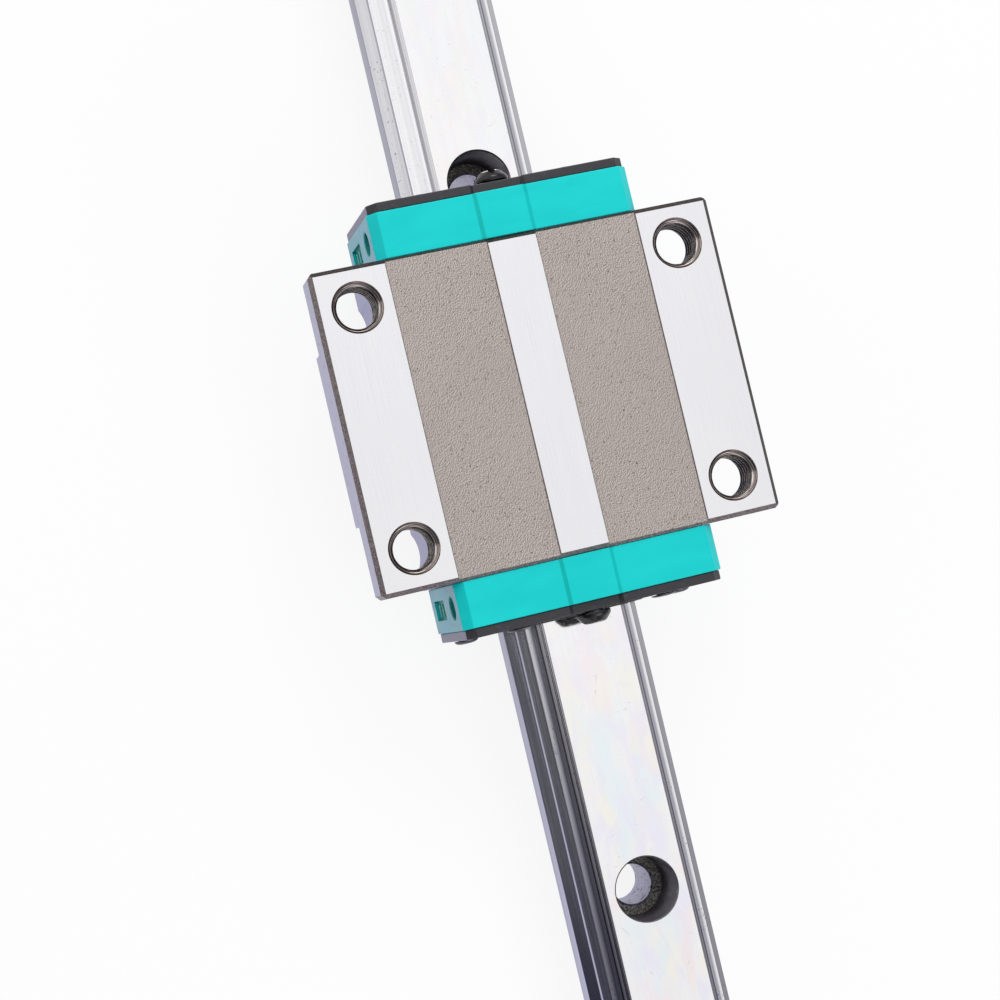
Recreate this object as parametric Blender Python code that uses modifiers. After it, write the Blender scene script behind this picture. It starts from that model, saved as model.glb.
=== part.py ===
"""Profiled rail with a flanged four-row recirculating ball carriage, for a precision linear stage.

X runs across the rail, Y along it and Z up. The origin is the middle of the rail's underside.
"""

import math

import bmesh
import bpy
from mathutils import Matrix, Vector

MM = 0.001

# Rail
RAIL_LENGTH = 360 * MM
RAIL_WIDTH = 28 * MM
RAIL_HEIGHT = 26 * MM
RAIL_TOP_EDGE = 0.25 * MM
RAIL_FOOT_HEIGHT = 6.6 * MM
RAIL_FOOT_CHAMFER = 0.8 * MM
RAIL_NOSE_HEIGHT = 1.6 * MM
RAIL_END_CHAMFER = 0.5 * MM
HOLE_PITCH = 80 * MM
HOLE_END_DISTANCE = 20 * MM
COUNTERBORE_DIAMETER = 14 * MM
COUNTERBORE_DEPTH = 12 * MM
BOLT_HOLE_DIAMETER = 9 * MM
HOLE_EDGE = 0.4 * MM

# Balls and raceways
BALL_DIAMETER = 5.556 * MM
RACE_CLEARANCE = 0.3 * MM
LOAD_ROW_X = 12.47 * MM
UPPER_ROW_DROP = 0.7 * MM
ROW_SPACING = 11.4 * MM
CONTACT_ANGLE = math.radians(45)
RACE_HALF_ANGLE = math.radians(44)
TURN_RADIUS = 4.5 * MM
UPPER_RETURN_ANGLE = math.radians(20)
LOWER_RETURN_ANGLE = math.radians(-10)

# Carriage block
CARRIAGE_OFFSET = 29.6 * MM
ASSEMBLY_HEIGHT = 42 * MM
BLOCK_WIDTH = 90 * MM
BLOCK_LENGTH = 70 * MM
BLOCK_FLOOR = 7 * MM
BLOCK_EDGE_CHAMFER = 1 * MM
BODY_WIDTH = 60 * MM
BODY_FOOT_CHAMFER = 2 * MM
BODY_FILLET = 1 * MM
LEG_RAIL_CLEARANCE = 2.2 * MM
FLANGE_THICKNESS = 13 * MM
FLANGE_DRAFT = 0.2 * MM
POCKET_THICKNESS = 8.5 * MM
POCKET_START = 18.7 * MM
POCKET_RIB = 0.4 * MM
CENTRE_STRIP_WIDTH = 10.8 * MM
SIDE_PAD_WIDTH = 16.8 * MM
STRIP_RELIEF = 0.35 * MM
TAP_EDGE_DISTANCE = 9 * MM
TAP_DIAMETER = 10 * MM
TAP_MOUTH_DIAMETER = 11.2 * MM
BOLT_HEAD_DIAMETER = 14.4 * MM
BOLT_HEAD_SEAT_DEPTH = 0.3 * MM

# End caps
CAP_LENGTH = 9.9 * MM
CAP_WIDTH = 58.6 * MM
CAP_TOP_DROP = 1 * MM
CAP_BAND_WIDTH = 10.4 * MM
CAP_BAND_RISE = 0.35 * MM
CAP_BAND_SLOPE = 0.9 * MM
CAP_CORNER = 2 * MM
CAP_SIDE_FOOT = 10.5 * MM
CAP_FLOOR = 6.3 * MM
CAP_LEG_WIDTH = 9.5 * MM
CAP_RAIL_CLEARANCE = 0.8 * MM
PORT_DIAMETER = 5 * MM
PORT_DEPTH = 4 * MM
PORT_BELOW_TOP = 7.9 * MM
WINDOW_WIDTH = 4.4 * MM
WINDOW_HEIGHT = 10.6 * MM
WINDOW_DEPTH = 0.9 * MM
WINDOW_FLOOR = 14.2 * MM

# End seals
SEAL_THICKNESS = 1.8 * MM
SEAL_INSET = 0.4 * MM
SEAL_NOTCH_WIDTH = 10.6 * MM
SEAL_NOTCH_DEPTH = 0.8 * MM
SEAL_RAIL_CLEARANCE = 0.3 * MM
SEAL_LIP_WIDTH = 1.5 * MM
SEAL_LIP_HEIGHT = 0.6 * MM

# Bottom seals and retainers
SLIDING_CLEARANCE = 0.35 * MM
BOTTOM_SEAL_THICKNESS = 0.7 * MM
BOTTOM_SEAL_WIDTH = 9 * MM
BOTTOM_SEAL_LIP = 0.6 * MM
SIDE_RETAINER_HEIGHT = 5.4 * MM
SIDE_RETAINER_EDGE = 0.5 * MM
TOP_RETAINER_THICKNESS = 1.2 * MM
TOP_RETAINER_WIDTH = 18.6 * MM
TOP_RETAINER_EDGE = 0.4 * MM

# Return guides
BRIDGE_WIDTH = 2 * MM
BRIDGE_DEPTH = 1.6 * MM

# Cap screws and grease plugs
SCREW_DIAMETER = 3 * MM
SCREW_HEAD_DIAMETER = 5.4 * MM
SCREW_HEAD_HEIGHT = 0.9 * MM
SCREW_GRIP = 6 * MM
SCREW_HOLE_REST = 1 * MM
UPPER_SCREW_X = 16.5 * MM
UPPER_SCREW_BELOW_TOP = 7 * MM
LOWER_SCREW_X = 25 * MM
LOWER_SCREW_Z = 18.5 * MM
SCREW_HEAD_ROUNDING = 0.7 * MM
PLUG_COLLAR_DIAMETER = 7.6 * MM
PLUG_COLLAR_HEIGHT = 1.3 * MM
PLUG_TIP_DIAMETER = 4.8 * MM
PLUG_CONE_HEIGHT = 1.3 * MM
PLUG_SHANK_DIAMETER = 5 * MM
PLUG_SHANK_LENGTH = 6 * MM
PLUG_BELOW_TOP = 6 * MM
PLUG_SLOT_WIDTH = 0.9 * MM
PLUG_SLOT_DEPTH = 1.1 * MM

# Fits and cutting
SEAT_GAP = 0.3 * MM
CUT_MARGIN = 2 * MM
SAME_PLACE = 0.001 * MM

# Facets
HOLE_SEGMENTS = 28
BORE_SEGMENTS = 16
SCREW_SEGMENTS = 12
RACE_SEGMENTS = 5
TURN_SEGMENTS = 20
RINGS_PER_BALL = 3
BALL_NECK = 0.32

# Heights and places that follow from the sizes
BALL_RADIUS = BALL_DIAMETER / 2
RACE_RADIUS = BALL_RADIUS + RACE_CLEARANCE
UPPER_ROW_Z = RAIL_HEIGHT - UPPER_ROW_DROP
LOWER_ROW_Z = UPPER_ROW_Z - ROW_SPACING
ROW_MIDDLE_Z = (UPPER_ROW_Z + LOWER_ROW_Z) / 2
FLANGE_UNDERSIDE = ASSEMBLY_HEIGHT - FLANGE_THICKNESS
POCKET_CEILING = ASSEMBLY_HEIGHT - POCKET_THICKNESS
BLOCK_END = BLOCK_LENGTH / 2
CAP_INNER_END = BLOCK_END + SEAT_GAP
CAP_OUTER_END = CAP_INNER_END + CAP_LENGTH
SEAL_INNER_END = CAP_OUTER_END + SEAT_GAP
SEAL_OUTER_END = SEAL_INNER_END + SEAL_THICKNESS
HEAD_SEAT_END = SEAL_OUTER_END + SEAT_GAP
TURN_START = BLOCK_END + SEAT_GAP / 2
CAP_TOP = ASSEMBLY_HEIGHT - CAP_TOP_DROP
PLUG_Z = ASSEMBLY_HEIGHT - PLUG_BELOW_TOP
PORT_Z = CAP_TOP - PORT_BELOW_TOP
SCREW_CLEARANCE_DIAMETER = SCREW_DIAMETER + 2 * SEAT_GAP
PLUG_HOLE_DIAMETER = PLUG_SHANK_DIAMETER + 2 * SEAT_GAP

FRONT_AND_REAR = {"front": -1, "rear": 1}
LEFT_AND_RIGHT = {"left": -1, "right": 1}
ROWS = {
    "upper": (UPPER_ROW_Z, UPPER_RETURN_ANGLE),
    "lower": (LOWER_ROW_Z, LOWER_RETURN_ANGLE),
}
SCREW_PLACES = {
    "upper": (UPPER_SCREW_X, ASSEMBLY_HEIGHT - UPPER_SCREW_BELOW_TOP),
    "lower": (LOWER_SCREW_X, LOWER_SCREW_Z),
}


# Scene and materials


def clear_scene():
    for obj in list(bpy.data.objects):
        bpy.data.objects.remove(obj, do_unlink=True)


def new_collection(name):
    collection = bpy.data.collections.new(name)
    bpy.context.scene.collection.children.link(collection)
    return collection


def new_material(name, colour, roughness, metallic):
    material = bpy.data.materials.new(name)
    material.use_nodes = True
    shader = material.node_tree.nodes["Principled BSDF"]
    shader.inputs["Base Color"].default_value = (*colour, 1)
    shader.inputs["Roughness"].default_value = roughness
    shader.inputs["Metallic"].default_value = metallic
    material.diffuse_color = (*colour, 1)
    return material


def make_materials():
    return {
        "rail": new_material("rail_steel", (0.78, 0.78, 0.81), 0.15, 1.0),
        "block": new_material("block_steel", (0.62, 0.61, 0.61), 0.32, 1.0),
        "cap": new_material("teal_plastic", (0.02, 0.62, 0.6), 0.38, 0.0),
        "seal": new_material("seal_rubber", (0.04, 0.038, 0.042), 0.55, 0.0),
        "plug": new_material("black_plastic", (0.02, 0.02, 0.022), 0.2, 0.0),
        "screw": new_material("blackened_steel", (0.05, 0.05, 0.055), 0.35, 0.6),
        "ball": new_material("ball_steel", (0.85, 0.85, 0.86), 0.08, 1.0),
        "guide": new_material("guide_plastic", (0.05, 0.05, 0.05), 0.45, 0.0),
    }


# Flat outlines, each a list of X and Z points


def arc(centre, radius, start, end, segments):
    """Points round a centre from one angle to another, both ends included."""
    points = []
    for step in range(segments + 1):
        angle = start + (end - start) * step / segments
        points.append((centre[0] + radius * math.cos(angle), centre[1] + radius * math.sin(angle)))
    return points


def both_sides(half):
    """A closed outline from its right half, which starts and ends on the middle plane."""
    return half + [(-x, z) for x, z in reversed(half) if x > 0]


def mirrored(outline, side):
    """An outline of the right side, or its mirror image on the left."""
    return [(x * side, z) for x, z in outline]


def grown(outline, distance):
    """A closed outline moved outward by a distance, each corner along its mitre."""
    following = outline[1:] + outline[:1]
    area = sum(x0 * z1 - x1 * z0 for (x0, z0), (x1, z1) in zip(outline, following))
    turn = math.copysign(1, area)
    moved = []
    for before, here, after in zip(outline[-1:] + outline[:-1], outline, following):
        back = (Vector(here) - Vector(before)).normalized()
        ahead = (Vector(after) - Vector(here)).normalized()
        normals = Vector((back.y + ahead.y, -back.x - ahead.x)) * turn
        mitre = normals / (1 + back.dot(ahead))
        moved.append((here[0] + mitre.x * distance, here[1] + mitre.y * distance))
    return moved


def rail_groove(row_z, direction):
    """A rail raceway's arc, which opens away from the rail at the contact angle."""
    middle = math.pi + CONTACT_ANGLE * direction
    return arc(
        (LOAD_ROW_X, row_z),
        RACE_RADIUS,
        middle - RACE_HALF_ANGLE,
        middle + RACE_HALF_ANGLE,
        RACE_SEGMENTS,
    )


def rail_half_outline():
    """The rail's right half, from the middle of its top down to the middle of its underside."""
    half = RAIL_WIDTH / 2
    upper = rail_groove(UPPER_ROW_Z, 1)
    lower = rail_groove(LOWER_ROW_Z, -1)
    waist = lower[-1][0]
    return [
        (0, RAIL_HEIGHT),
        (upper[0][0] - RAIL_TOP_EDGE, RAIL_HEIGHT),
        *upper,
        (half, ROW_MIDDLE_Z + RAIL_NOSE_HEIGHT / 2),
        (half, ROW_MIDDLE_Z - RAIL_NOSE_HEIGHT / 2),
        *lower,
        (waist, RAIL_FOOT_HEIGHT + half - waist),
        (half, RAIL_FOOT_HEIGHT),
        (half, RAIL_FOOT_CHAMFER),
        (half - RAIL_FOOT_CHAMFER, 0),
        (0, 0),
    ]


def astride_rail(outer_half, clearance):
    """A closed outline that fits over the rail: an outer half down to the leg's foot, and the gap."""
    rail_half = rail_half_outline()
    around_rail = grown(both_sides(rail_half), clearance)[: len(rail_half) - 3]
    leg_foot = (RAIL_WIDTH / 2 + clearance, outer_half[-1][1])
    return both_sides([*outer_half, leg_foot, *reversed(around_rail)])


def block_half_outline():
    """The block's right half, from the middle of its top round the leg to the middle of its ceiling."""
    half = BLOCK_WIDTH / 2
    body = BODY_WIDTH / 2
    strip = CENTRE_STRIP_WIDTH / 2
    pad = half - SIDE_PAD_WIDTH
    leg = RAIL_WIDTH / 2 + LEG_RAIL_CLEARANCE
    lower = arc(
        (LOAD_ROW_X, LOWER_ROW_Z),
        RACE_RADIUS,
        -CONTACT_ANGLE - RACE_HALF_ANGLE,
        -CONTACT_ANGLE + RACE_HALF_ANGLE,
        RACE_SEGMENTS,
    )
    upper = arc(
        (LOAD_ROW_X, UPPER_ROW_Z),
        RACE_RADIUS,
        CONTACT_ANGLE - RACE_HALF_ANGLE,
        CONTACT_ANGLE + RACE_HALF_ANGLE,
        RACE_SEGMENTS,
    )
    return [
        (0, ASSEMBLY_HEIGHT),
        (strip, ASSEMBLY_HEIGHT),
        (strip + STRIP_RELIEF, ASSEMBLY_HEIGHT - STRIP_RELIEF),
        (pad - STRIP_RELIEF, ASSEMBLY_HEIGHT - STRIP_RELIEF),
        (pad, ASSEMBLY_HEIGHT),
        (half - BLOCK_EDGE_CHAMFER, ASSEMBLY_HEIGHT),
        (half, ASSEMBLY_HEIGHT - BLOCK_EDGE_CHAMFER),
        (half, FLANGE_UNDERSIDE),
        (body + BODY_FILLET, FLANGE_UNDERSIDE - FLANGE_DRAFT),
        (body, FLANGE_UNDERSIDE - FLANGE_DRAFT - BODY_FILLET),
        (body, BLOCK_FLOOR + BODY_FOOT_CHAMFER),
        (body - BODY_FOOT_CHAMFER, BLOCK_FLOOR),
        (leg, BLOCK_FLOOR),
        *lower,
        *upper,
        (0, upper[-1][1]),
    ]


def end_outline(top_middle, inset, clearance):
    """An end piece's outline round the rail, from the points of the middle of its top."""
    half = CAP_WIDTH / 2 - inset
    top = CAP_TOP - inset
    outer_half = [
        *top_middle,
        (half - CAP_CORNER, top),
        (half, top - CAP_CORNER),
        (half, CAP_SIDE_FOOT),
        (RAIL_WIDTH / 2 + CAP_RAIL_CLEARANCE + CAP_LEG_WIDTH - inset, CAP_FLOOR),
    ]
    return astride_rail(outer_half, clearance)


def cap_outline():
    band = CAP_BAND_WIDTH / 2
    top_middle = [
        (0, CAP_TOP + CAP_BAND_RISE),
        (band, CAP_TOP + CAP_BAND_RISE),
        (band + CAP_BAND_SLOPE, CAP_TOP),
    ]
    return end_outline(top_middle, 0, CAP_RAIL_CLEARANCE)


def seal_outline():
    notch = SEAL_NOTCH_WIDTH / 2
    top = CAP_TOP - SEAL_INSET
    top_middle = [
        (0, top - SEAL_NOTCH_DEPTH),
        (notch, top - SEAL_NOTCH_DEPTH),
        (notch + SEAL_NOTCH_DEPTH, top),
    ]
    return end_outline(top_middle, SEAL_INSET, SEAL_RAIL_CLEARANCE)


def around_lip_outline():
    """What is cut from a seal's outer face to leave its lip standing round the rail."""
    half = CAP_WIDTH / 2 + CUT_MARGIN
    top = CAP_TOP + CUT_MARGIN
    outer_half = [(0, top), (half, top), (half, CAP_FLOOR - CUT_MARGIN)]
    return astride_rail(outer_half, SEAL_RAIL_CLEARANCE + SEAL_LIP_WIDTH)


def bottom_seal_outline():
    inner = RAIL_WIDTH / 2 + SLIDING_CLEARANCE
    top = BLOCK_FLOOR - SEAT_GAP
    bottom = top - BOTTOM_SEAL_THICKNESS
    return [
        (inner, bottom),
        (inner + BOTTOM_SEAL_WIDTH, bottom),
        (inner + BOTTOM_SEAL_WIDTH, top),
        (inner + 2 * BOTTOM_SEAL_LIP, top),
        (inner, top + BOTTOM_SEAL_LIP),
    ]


def side_retainer_outline():
    """A strip between the rail's nose and the block, with edges that follow the balls."""
    inner = RAIL_WIDTH / 2 + SLIDING_CLEARANCE
    outer = LOAD_ROW_X + RACE_RADIUS * math.cos(CONTACT_ANGLE - RACE_HALF_ANGLE) - SEAT_GAP
    tall = SIDE_RETAINER_HEIGHT / 2
    short = tall - SIDE_RETAINER_EDGE * 2
    half = [(inner, short), (inner + SIDE_RETAINER_EDGE, tall), (outer, tall)]
    lower_half = [(x, -z) for x, z in reversed(half)]
    return [(x, ROW_MIDDLE_Z + z) for x, z in half + lower_half]


def top_retainer_outline():
    """A strip under the block's ceiling, over the rail and between the upper rows."""
    ceiling = block_half_outline()[-1][1]
    top = ceiling - SEAT_GAP
    half = TOP_RETAINER_WIDTH / 2
    bottom = top - TOP_RETAINER_THICKNESS
    return both_sides([(0, top), (half, top), (half - TOP_RETAINER_EDGE, bottom), (0, bottom)])


# Meshes and objects


def mark_round_faces(shape):
    """Shades smooth the faces that meet a neighbour at a small angle, and leaves flats flat."""
    for face in shape.faces:
        angles = [edge.calc_face_angle(0) for edge in face.edges]
        face.smooth = any(math.radians(1) < angle < math.radians(30) for angle in angles)


def prism(outline, start, end):
    """A mesh of an outline in X and Z, drawn out along Y from start to end."""
    curve = bpy.data.curves.new("outline", "CURVE")
    curve.dimensions = "2D"
    curve.fill_mode = "BOTH"
    curve.extrude = (end - start) / 2
    spline = curve.splines.new("POLY")
    spline.points.add(len(outline) - 1)
    for point, (x, z) in zip(spline.points, outline):
        point.co = (x, z, 0, 1)
    spline.use_cyclic_u = True
    drawn = bpy.data.objects.new("outline", curve)
    bpy.context.scene.collection.objects.link(drawn)
    graph = bpy.context.evaluated_depsgraph_get()
    mesh = bpy.data.meshes.new_from_object(drawn.evaluated_get(graph))
    bpy.data.objects.remove(drawn)
    shape = bmesh.new()
    shape.from_mesh(mesh)
    bmesh.ops.remove_doubles(shape, verts=shape.verts, dist=SAME_PLACE)
    flat = math.radians(0.1)
    bmesh.ops.dissolve_limit(shape, angle_limit=flat, verts=shape.verts, edges=shape.edges)
    upright = Matrix.Translation((0, (start + end) / 2, 0)) @ Matrix.Rotation(math.pi / 2, 4, "X")
    bmesh.ops.transform(shape, matrix=upright, verts=shape.verts)
    bmesh.ops.recalc_face_normals(shape, faces=shape.faces)
    mark_round_faces(shape)
    shape.to_mesh(mesh)
    shape.free()
    return mesh


def box(low, high):
    """A mesh of a box between two corners."""
    corners = [Vector(map(min, low, high)), Vector(map(max, low, high))]
    size = corners[1] - corners[0]
    place = Matrix.Translation((corners[0] + corners[1]) / 2) @ Matrix.Diagonal((*size, 1))
    mesh = bpy.data.meshes.new("box")
    shape = bmesh.new()
    bmesh.ops.create_cube(shape, size=1)
    bmesh.ops.transform(shape, matrix=place, verts=shape.verts)
    shape.to_mesh(mesh)
    shape.free()
    return mesh


def cylinder(diameter, length, segments):
    """A mesh of a cylinder about Z with its middle at the origin."""
    mesh = bpy.data.meshes.new("cylinder")
    shape = bmesh.new()
    bmesh.ops.create_cone(
        shape,
        cap_ends=True,
        segments=segments,
        radius1=diameter / 2,
        radius2=diameter / 2,
        depth=length,
    )
    mark_round_faces(shape)
    shape.to_mesh(mesh)
    shape.free()
    return mesh


def profile(points):
    """A mesh of joined edges through points of radius and height, for a Screw modifier to turn."""
    mesh = bpy.data.meshes.new("profile")
    shape = bmesh.new()
    verts = [shape.verts.new((radius, 0, height)) for radius, height in points]
    for first, second in zip(verts, verts[1:]):
        shape.edges.new((first, second))
    shape.to_mesh(mesh)
    shape.free()
    return mesh


def settle(obj):
    """Makes an object's evaluated mesh its own, and shades its round faces smooth."""
    bpy.context.view_layer.update()
    graph = bpy.context.evaluated_depsgraph_get()
    mesh = bpy.data.meshes.new_from_object(obj.evaluated_get(graph))
    obj.modifiers.clear()
    obj.data = mesh
    mesh.shade_smooth()
    mesh.set_sharp_from_angle(angle=math.radians(30))


class Workshop:
    """Makes the objects of one assembly: its parts, and the cutters that shape them."""

    def __init__(self, name):
        self.parts = new_collection(name)
        self.cutters = new_collection("cutters")
        self.cutters.hide_render = True
        self.materials = make_materials()

    def empty(self, name, location):
        obj = bpy.data.objects.new(name, None)
        obj.location = location
        self.parts.objects.link(obj)
        return obj

    def part(self, name, data, material, parent=None, location=(0, 0, 0), rotation=(0, 0, 0)):
        obj = bpy.data.objects.new(name, data)
        obj.data.name = name
        obj.data.materials.clear()
        obj.data.materials.append(self.materials[material])
        obj.location = location
        obj.rotation_euler = rotation
        obj.parent = parent
        self.parts.objects.link(obj)
        return obj

    def cutter(self, name, mesh, parent=None, location=(0, 0, 0), rotation=(0, 0, 0)):
        obj = bpy.data.objects.new(name, mesh)
        obj.location = location
        obj.rotation_euler = rotation
        obj.parent = parent
        obj.hide_render = True
        obj.display_type = "WIRE"
        self.cutters.objects.link(obj)
        return obj


def turn_profile(obj, segments):
    screw = obj.modifiers.new("turn", "SCREW")
    screw.steps = segments
    screw.render_steps = segments
    screw.use_merge_vertices = True
    screw.merge_threshold = SAME_PLACE
    return obj


def combine(obj, other, operation):
    boolean = obj.modifiers.new(other.name, "BOOLEAN")
    boolean.operation = operation
    boolean.object = other
    boolean.solver = "EXACT"


def cut(obj, cutters):
    for cutter in cutters:
        combine(obj, cutter, "DIFFERENCE")


def chamfer_ends(obj, width, wanted):
    """Chamfers the edges round a prism's end faces whose middles, as X and Z, are wanted."""
    mesh = obj.data
    ends = (min(v.co.y for v in mesh.vertices), max(v.co.y for v in mesh.vertices))
    weights = mesh.attributes.new("bevel_weight_edge", "FLOAT", "EDGE")
    for edge in mesh.edges:
        first, second = (mesh.vertices[index].co for index in edge.vertices)
        middle = (first + second) / 2
        on_end = any(max(abs(first.y - end), abs(second.y - end)) < SAME_PLACE for end in ends)
        if on_end and wanted(abs(middle.x), middle.z):
            weights.data[edge.index].value = 1
    bevel = obj.modifiers.new("end edges", "BEVEL")
    bevel.limit_method = "WEIGHT"
    bevel.offset_type = "OFFSET"
    bevel.width = width
    bevel.segments = 1
    bevel.use_clamp_overlap = False


# Places of the ball circuits


def return_direction(side, return_angle):
    """The direction from a loaded row to its return bore."""
    return Vector((side * math.cos(return_angle), 0, math.sin(return_angle)))


def turn_middle(side, row_z, return_angle):
    """The middle between a loaded row and its return bore, in the plane across the rail."""
    loaded = Vector((side * LOAD_ROW_X, 0, row_z))
    return loaded + return_direction(side, return_angle) * TURN_RADIUS


def circuit_length():
    return 4 * TURN_START + 2 * math.pi * TURN_RADIUS


def circuit_point(side, row_z, return_angle, distance):
    """The point of a circuit's middle line at a distance round it from the loaded row's front."""
    straight = 2 * TURN_START
    half_turn = math.pi * TURN_RADIUS
    outward = return_direction(side, return_angle)
    middle = turn_middle(side, row_z, return_angle)
    distance %= circuit_length()
    back = distance >= straight + half_turn
    if back:
        distance -= straight + half_turn
    sign = -1 if back else 1
    if distance < straight:
        across, along = -TURN_RADIUS, distance - TURN_START
    else:
        angle = (distance - straight) / TURN_RADIUS
        across = -TURN_RADIUS * math.cos(angle)
        along = TURN_START + TURN_RADIUS * math.sin(angle)
    return middle + outward * across * sign + Vector((0, along * sign, 0))


def ball_circuit_curve(side, row_z, return_angle):
    """A closed train of touching balls, each a ring at its neck, its flanks and its middle."""
    balls = int(circuit_length() / BALL_DIAMETER)
    rings = balls * RINGS_PER_BALL
    curve = bpy.data.curves.new("balls", "CURVE")
    curve.dimensions = "3D"
    curve.bevel_depth = BALL_RADIUS
    curve.bevel_resolution = 1
    spline = curve.splines.new("POLY")
    spline.points.add(rings - 1)
    pitch = circuit_length() / balls
    for index, point in enumerate(spline.points):
        share = index % RINGS_PER_BALL / RINGS_PER_BALL
        from_centre = (share - 0.5) * pitch
        place = circuit_point(side, row_z, return_angle, index * pitch / RINGS_PER_BALL)
        point.co = (*place, 1)
        flank = math.sqrt(max(BALL_RADIUS**2 - from_centre**2, 0)) / BALL_RADIUS
        point.radius = max(flank, BALL_NECK)
    spline.use_cyclic_u = True
    return curve


# Sub-parts


def make_rail(shop):
    mesh = prism(both_sides(rail_half_outline()), -RAIL_LENGTH / 2, RAIL_LENGTH / 2)
    rail = shop.part("rail", mesh, "rail")
    chamfer_ends(rail, RAIL_END_CHAMFER, lambda x, z: z > CUT_MARGIN)
    bore = COUNTERBORE_DIAMETER / 2
    hole = BOLT_HOLE_DIAMETER / 2
    floor = RAIL_HEIGHT - COUNTERBORE_DEPTH
    hole_profile = [
        (0, RAIL_HEIGHT + CUT_MARGIN),
        (bore + HOLE_EDGE + CUT_MARGIN, RAIL_HEIGHT + CUT_MARGIN),
        (bore, RAIL_HEIGHT - HOLE_EDGE),
        (bore, floor),
        (hole, floor),
        (hole, HOLE_EDGE),
        (hole + HOLE_EDGE + CUT_MARGIN, -CUT_MARGIN),
        (0, -CUT_MARGIN),
    ]
    pitches = int((RAIL_LENGTH - 2 * HOLE_END_DISTANCE + SAME_PLACE) / HOLE_PITCH)
    for index in range(pitches + 1):
        place = (0, (index - pitches / 2) * HOLE_PITCH, 0)
        cutter = shop.cutter(f"rail_hole_{index + 1}", profile(hole_profile), location=place)
        cut(rail, [turn_profile(cutter, HOLE_SEGMENTS)])
    return rail


def lengthwise_hole(shop, name, carriage, diameter, place, start, end, segments=SCREW_SEGMENTS):
    """A cutter for a round hole along Y at a place in X and Z, from start to end."""
    return shop.cutter(
        name,
        cylinder(diameter, abs(end - start), segments),
        carriage,
        location=(place[0], (start + end) / 2, place[1]),
        rotation=(math.pi / 2, 0, 0),
    )


def screw_places():
    """Each cap screw's name, and its place across the rail."""
    for side_name, side in LEFT_AND_RIGHT.items():
        for level, (x, z) in SCREW_PLACES.items():
            yield f"{level}_{side_name}", (side * x, z)


def tap_places():
    """Each tapped hole's name, and its axis as a location under the carriage."""
    across = BLOCK_WIDTH / 2 - TAP_EDGE_DISTANCE
    along = BLOCK_END - TAP_EDGE_DISTANCE
    for end_name, end in FRONT_AND_REAR.items():
        for side_name, side in LEFT_AND_RIGHT.items():
            yield f"{end_name}_{side_name}", (side * across, end * along, 0)


def tapped_hole_cutters(shop, carriage):
    mouth = TAP_MOUTH_DIAMETER / 2
    wall = TAP_DIAMETER / 2
    tap_profile = [
        (0, ASSEMBLY_HEIGHT + CUT_MARGIN),
        (mouth + CUT_MARGIN, ASSEMBLY_HEIGHT + CUT_MARGIN),
        (wall, ASSEMBLY_HEIGHT - (mouth - wall)),
        (wall, FLANGE_UNDERSIDE - CUT_MARGIN),
        (0, FLANGE_UNDERSIDE - CUT_MARGIN),
    ]
    for name, place in tap_places():
        cutter = shop.cutter(f"tap_{name}", profile(tap_profile), carriage, location=place)
        yield turn_profile(cutter, HOLE_SEGMENTS)


def bolt_head_cutters(shop, carriage):
    """Upright round recesses in the body's sides, for the heads of bolts put in from below."""
    bottom = BLOCK_FLOOR - CUT_MARGIN
    top = POCKET_CEILING + BOLT_HEAD_SEAT_DEPTH
    for name, (x, y, _) in tap_places():
        yield shop.cutter(
            f"bolt_head_recess_{name}",
            cylinder(BOLT_HEAD_DIAMETER, top - bottom, HOLE_SEGMENTS),
            carriage,
            location=(x, y, (top + bottom) / 2),
        )


def flange_pocket_cutters(shop, carriage):
    inner = BODY_WIDTH / 2 + BODY_FILLET + POCKET_RIB
    outer = BLOCK_WIDTH / 2 + CUT_MARGIN
    floor = FLANGE_UNDERSIDE - BODY_FILLET
    for end_name, end in FRONT_AND_REAR.items():
        for side_name, side in LEFT_AND_RIGHT.items():
            low = (side * inner, end * POCKET_START, floor)
            high = (side * outer, end * (BLOCK_END + CUT_MARGIN), POCKET_CEILING)
            yield shop.cutter(f"flange_pocket_{end_name}_{side_name}", box(low, high), carriage)


def return_bore_cutters(shop, carriage):
    reach = BLOCK_END + CUT_MARGIN
    for side_name, side in LEFT_AND_RIGHT.items():
        for level, (row_z, return_angle) in ROWS.items():
            middle = turn_middle(side, row_z, return_angle)
            bore = middle + return_direction(side, return_angle) * TURN_RADIUS
            name = f"return_bore_{level}_{side_name}"
            place = (bore.x, bore.z)
            yield lengthwise_hole(
                shop, name, carriage, 2 * RACE_RADIUS, place, -reach, reach, BORE_SEGMENTS
            )


def block_screw_cutters(shop, carriage):
    inner = BLOCK_END - SCREW_GRIP - SCREW_HOLE_REST
    outer = BLOCK_END + CUT_MARGIN
    for end_name, end in FRONT_AND_REAR.items():
        for name, place in screw_places():
            yield lengthwise_hole(
                shop,
                f"block_screw_hole_{end_name}_{name}",
                carriage,
                SCREW_CLEARANCE_DIAMETER,
                place,
                end * inner,
                end * outer,
            )


def make_block(shop, carriage):
    mesh = prism(both_sides(block_half_outline()), -BLOCK_END, BLOCK_END)
    block = shop.part("carriage_block", mesh, "block", carriage)
    chamfer_ends(block, BLOCK_EDGE_CHAMFER, lambda x, z: z > FLANGE_UNDERSIDE)
    cut(block, tapped_hole_cutters(shop, carriage))
    cut(block, flange_pocket_cutters(shop, carriage))
    cut(block, bolt_head_cutters(shop, carriage))
    cut(block, return_bore_cutters(shop, carriage))
    cut(block, block_screw_cutters(shop, carriage))
    return block


def turnaround_profile():
    """A rounded disc: the space swept by the balls as they turn, and all that is inside it."""
    rim = arc((TURN_RADIUS, 0), RACE_RADIUS, math.pi / 2, -math.pi / 2, RACE_SEGMENTS)
    return [(0, RACE_RADIUS), *rim, (0, -RACE_RADIUS)]


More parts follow.
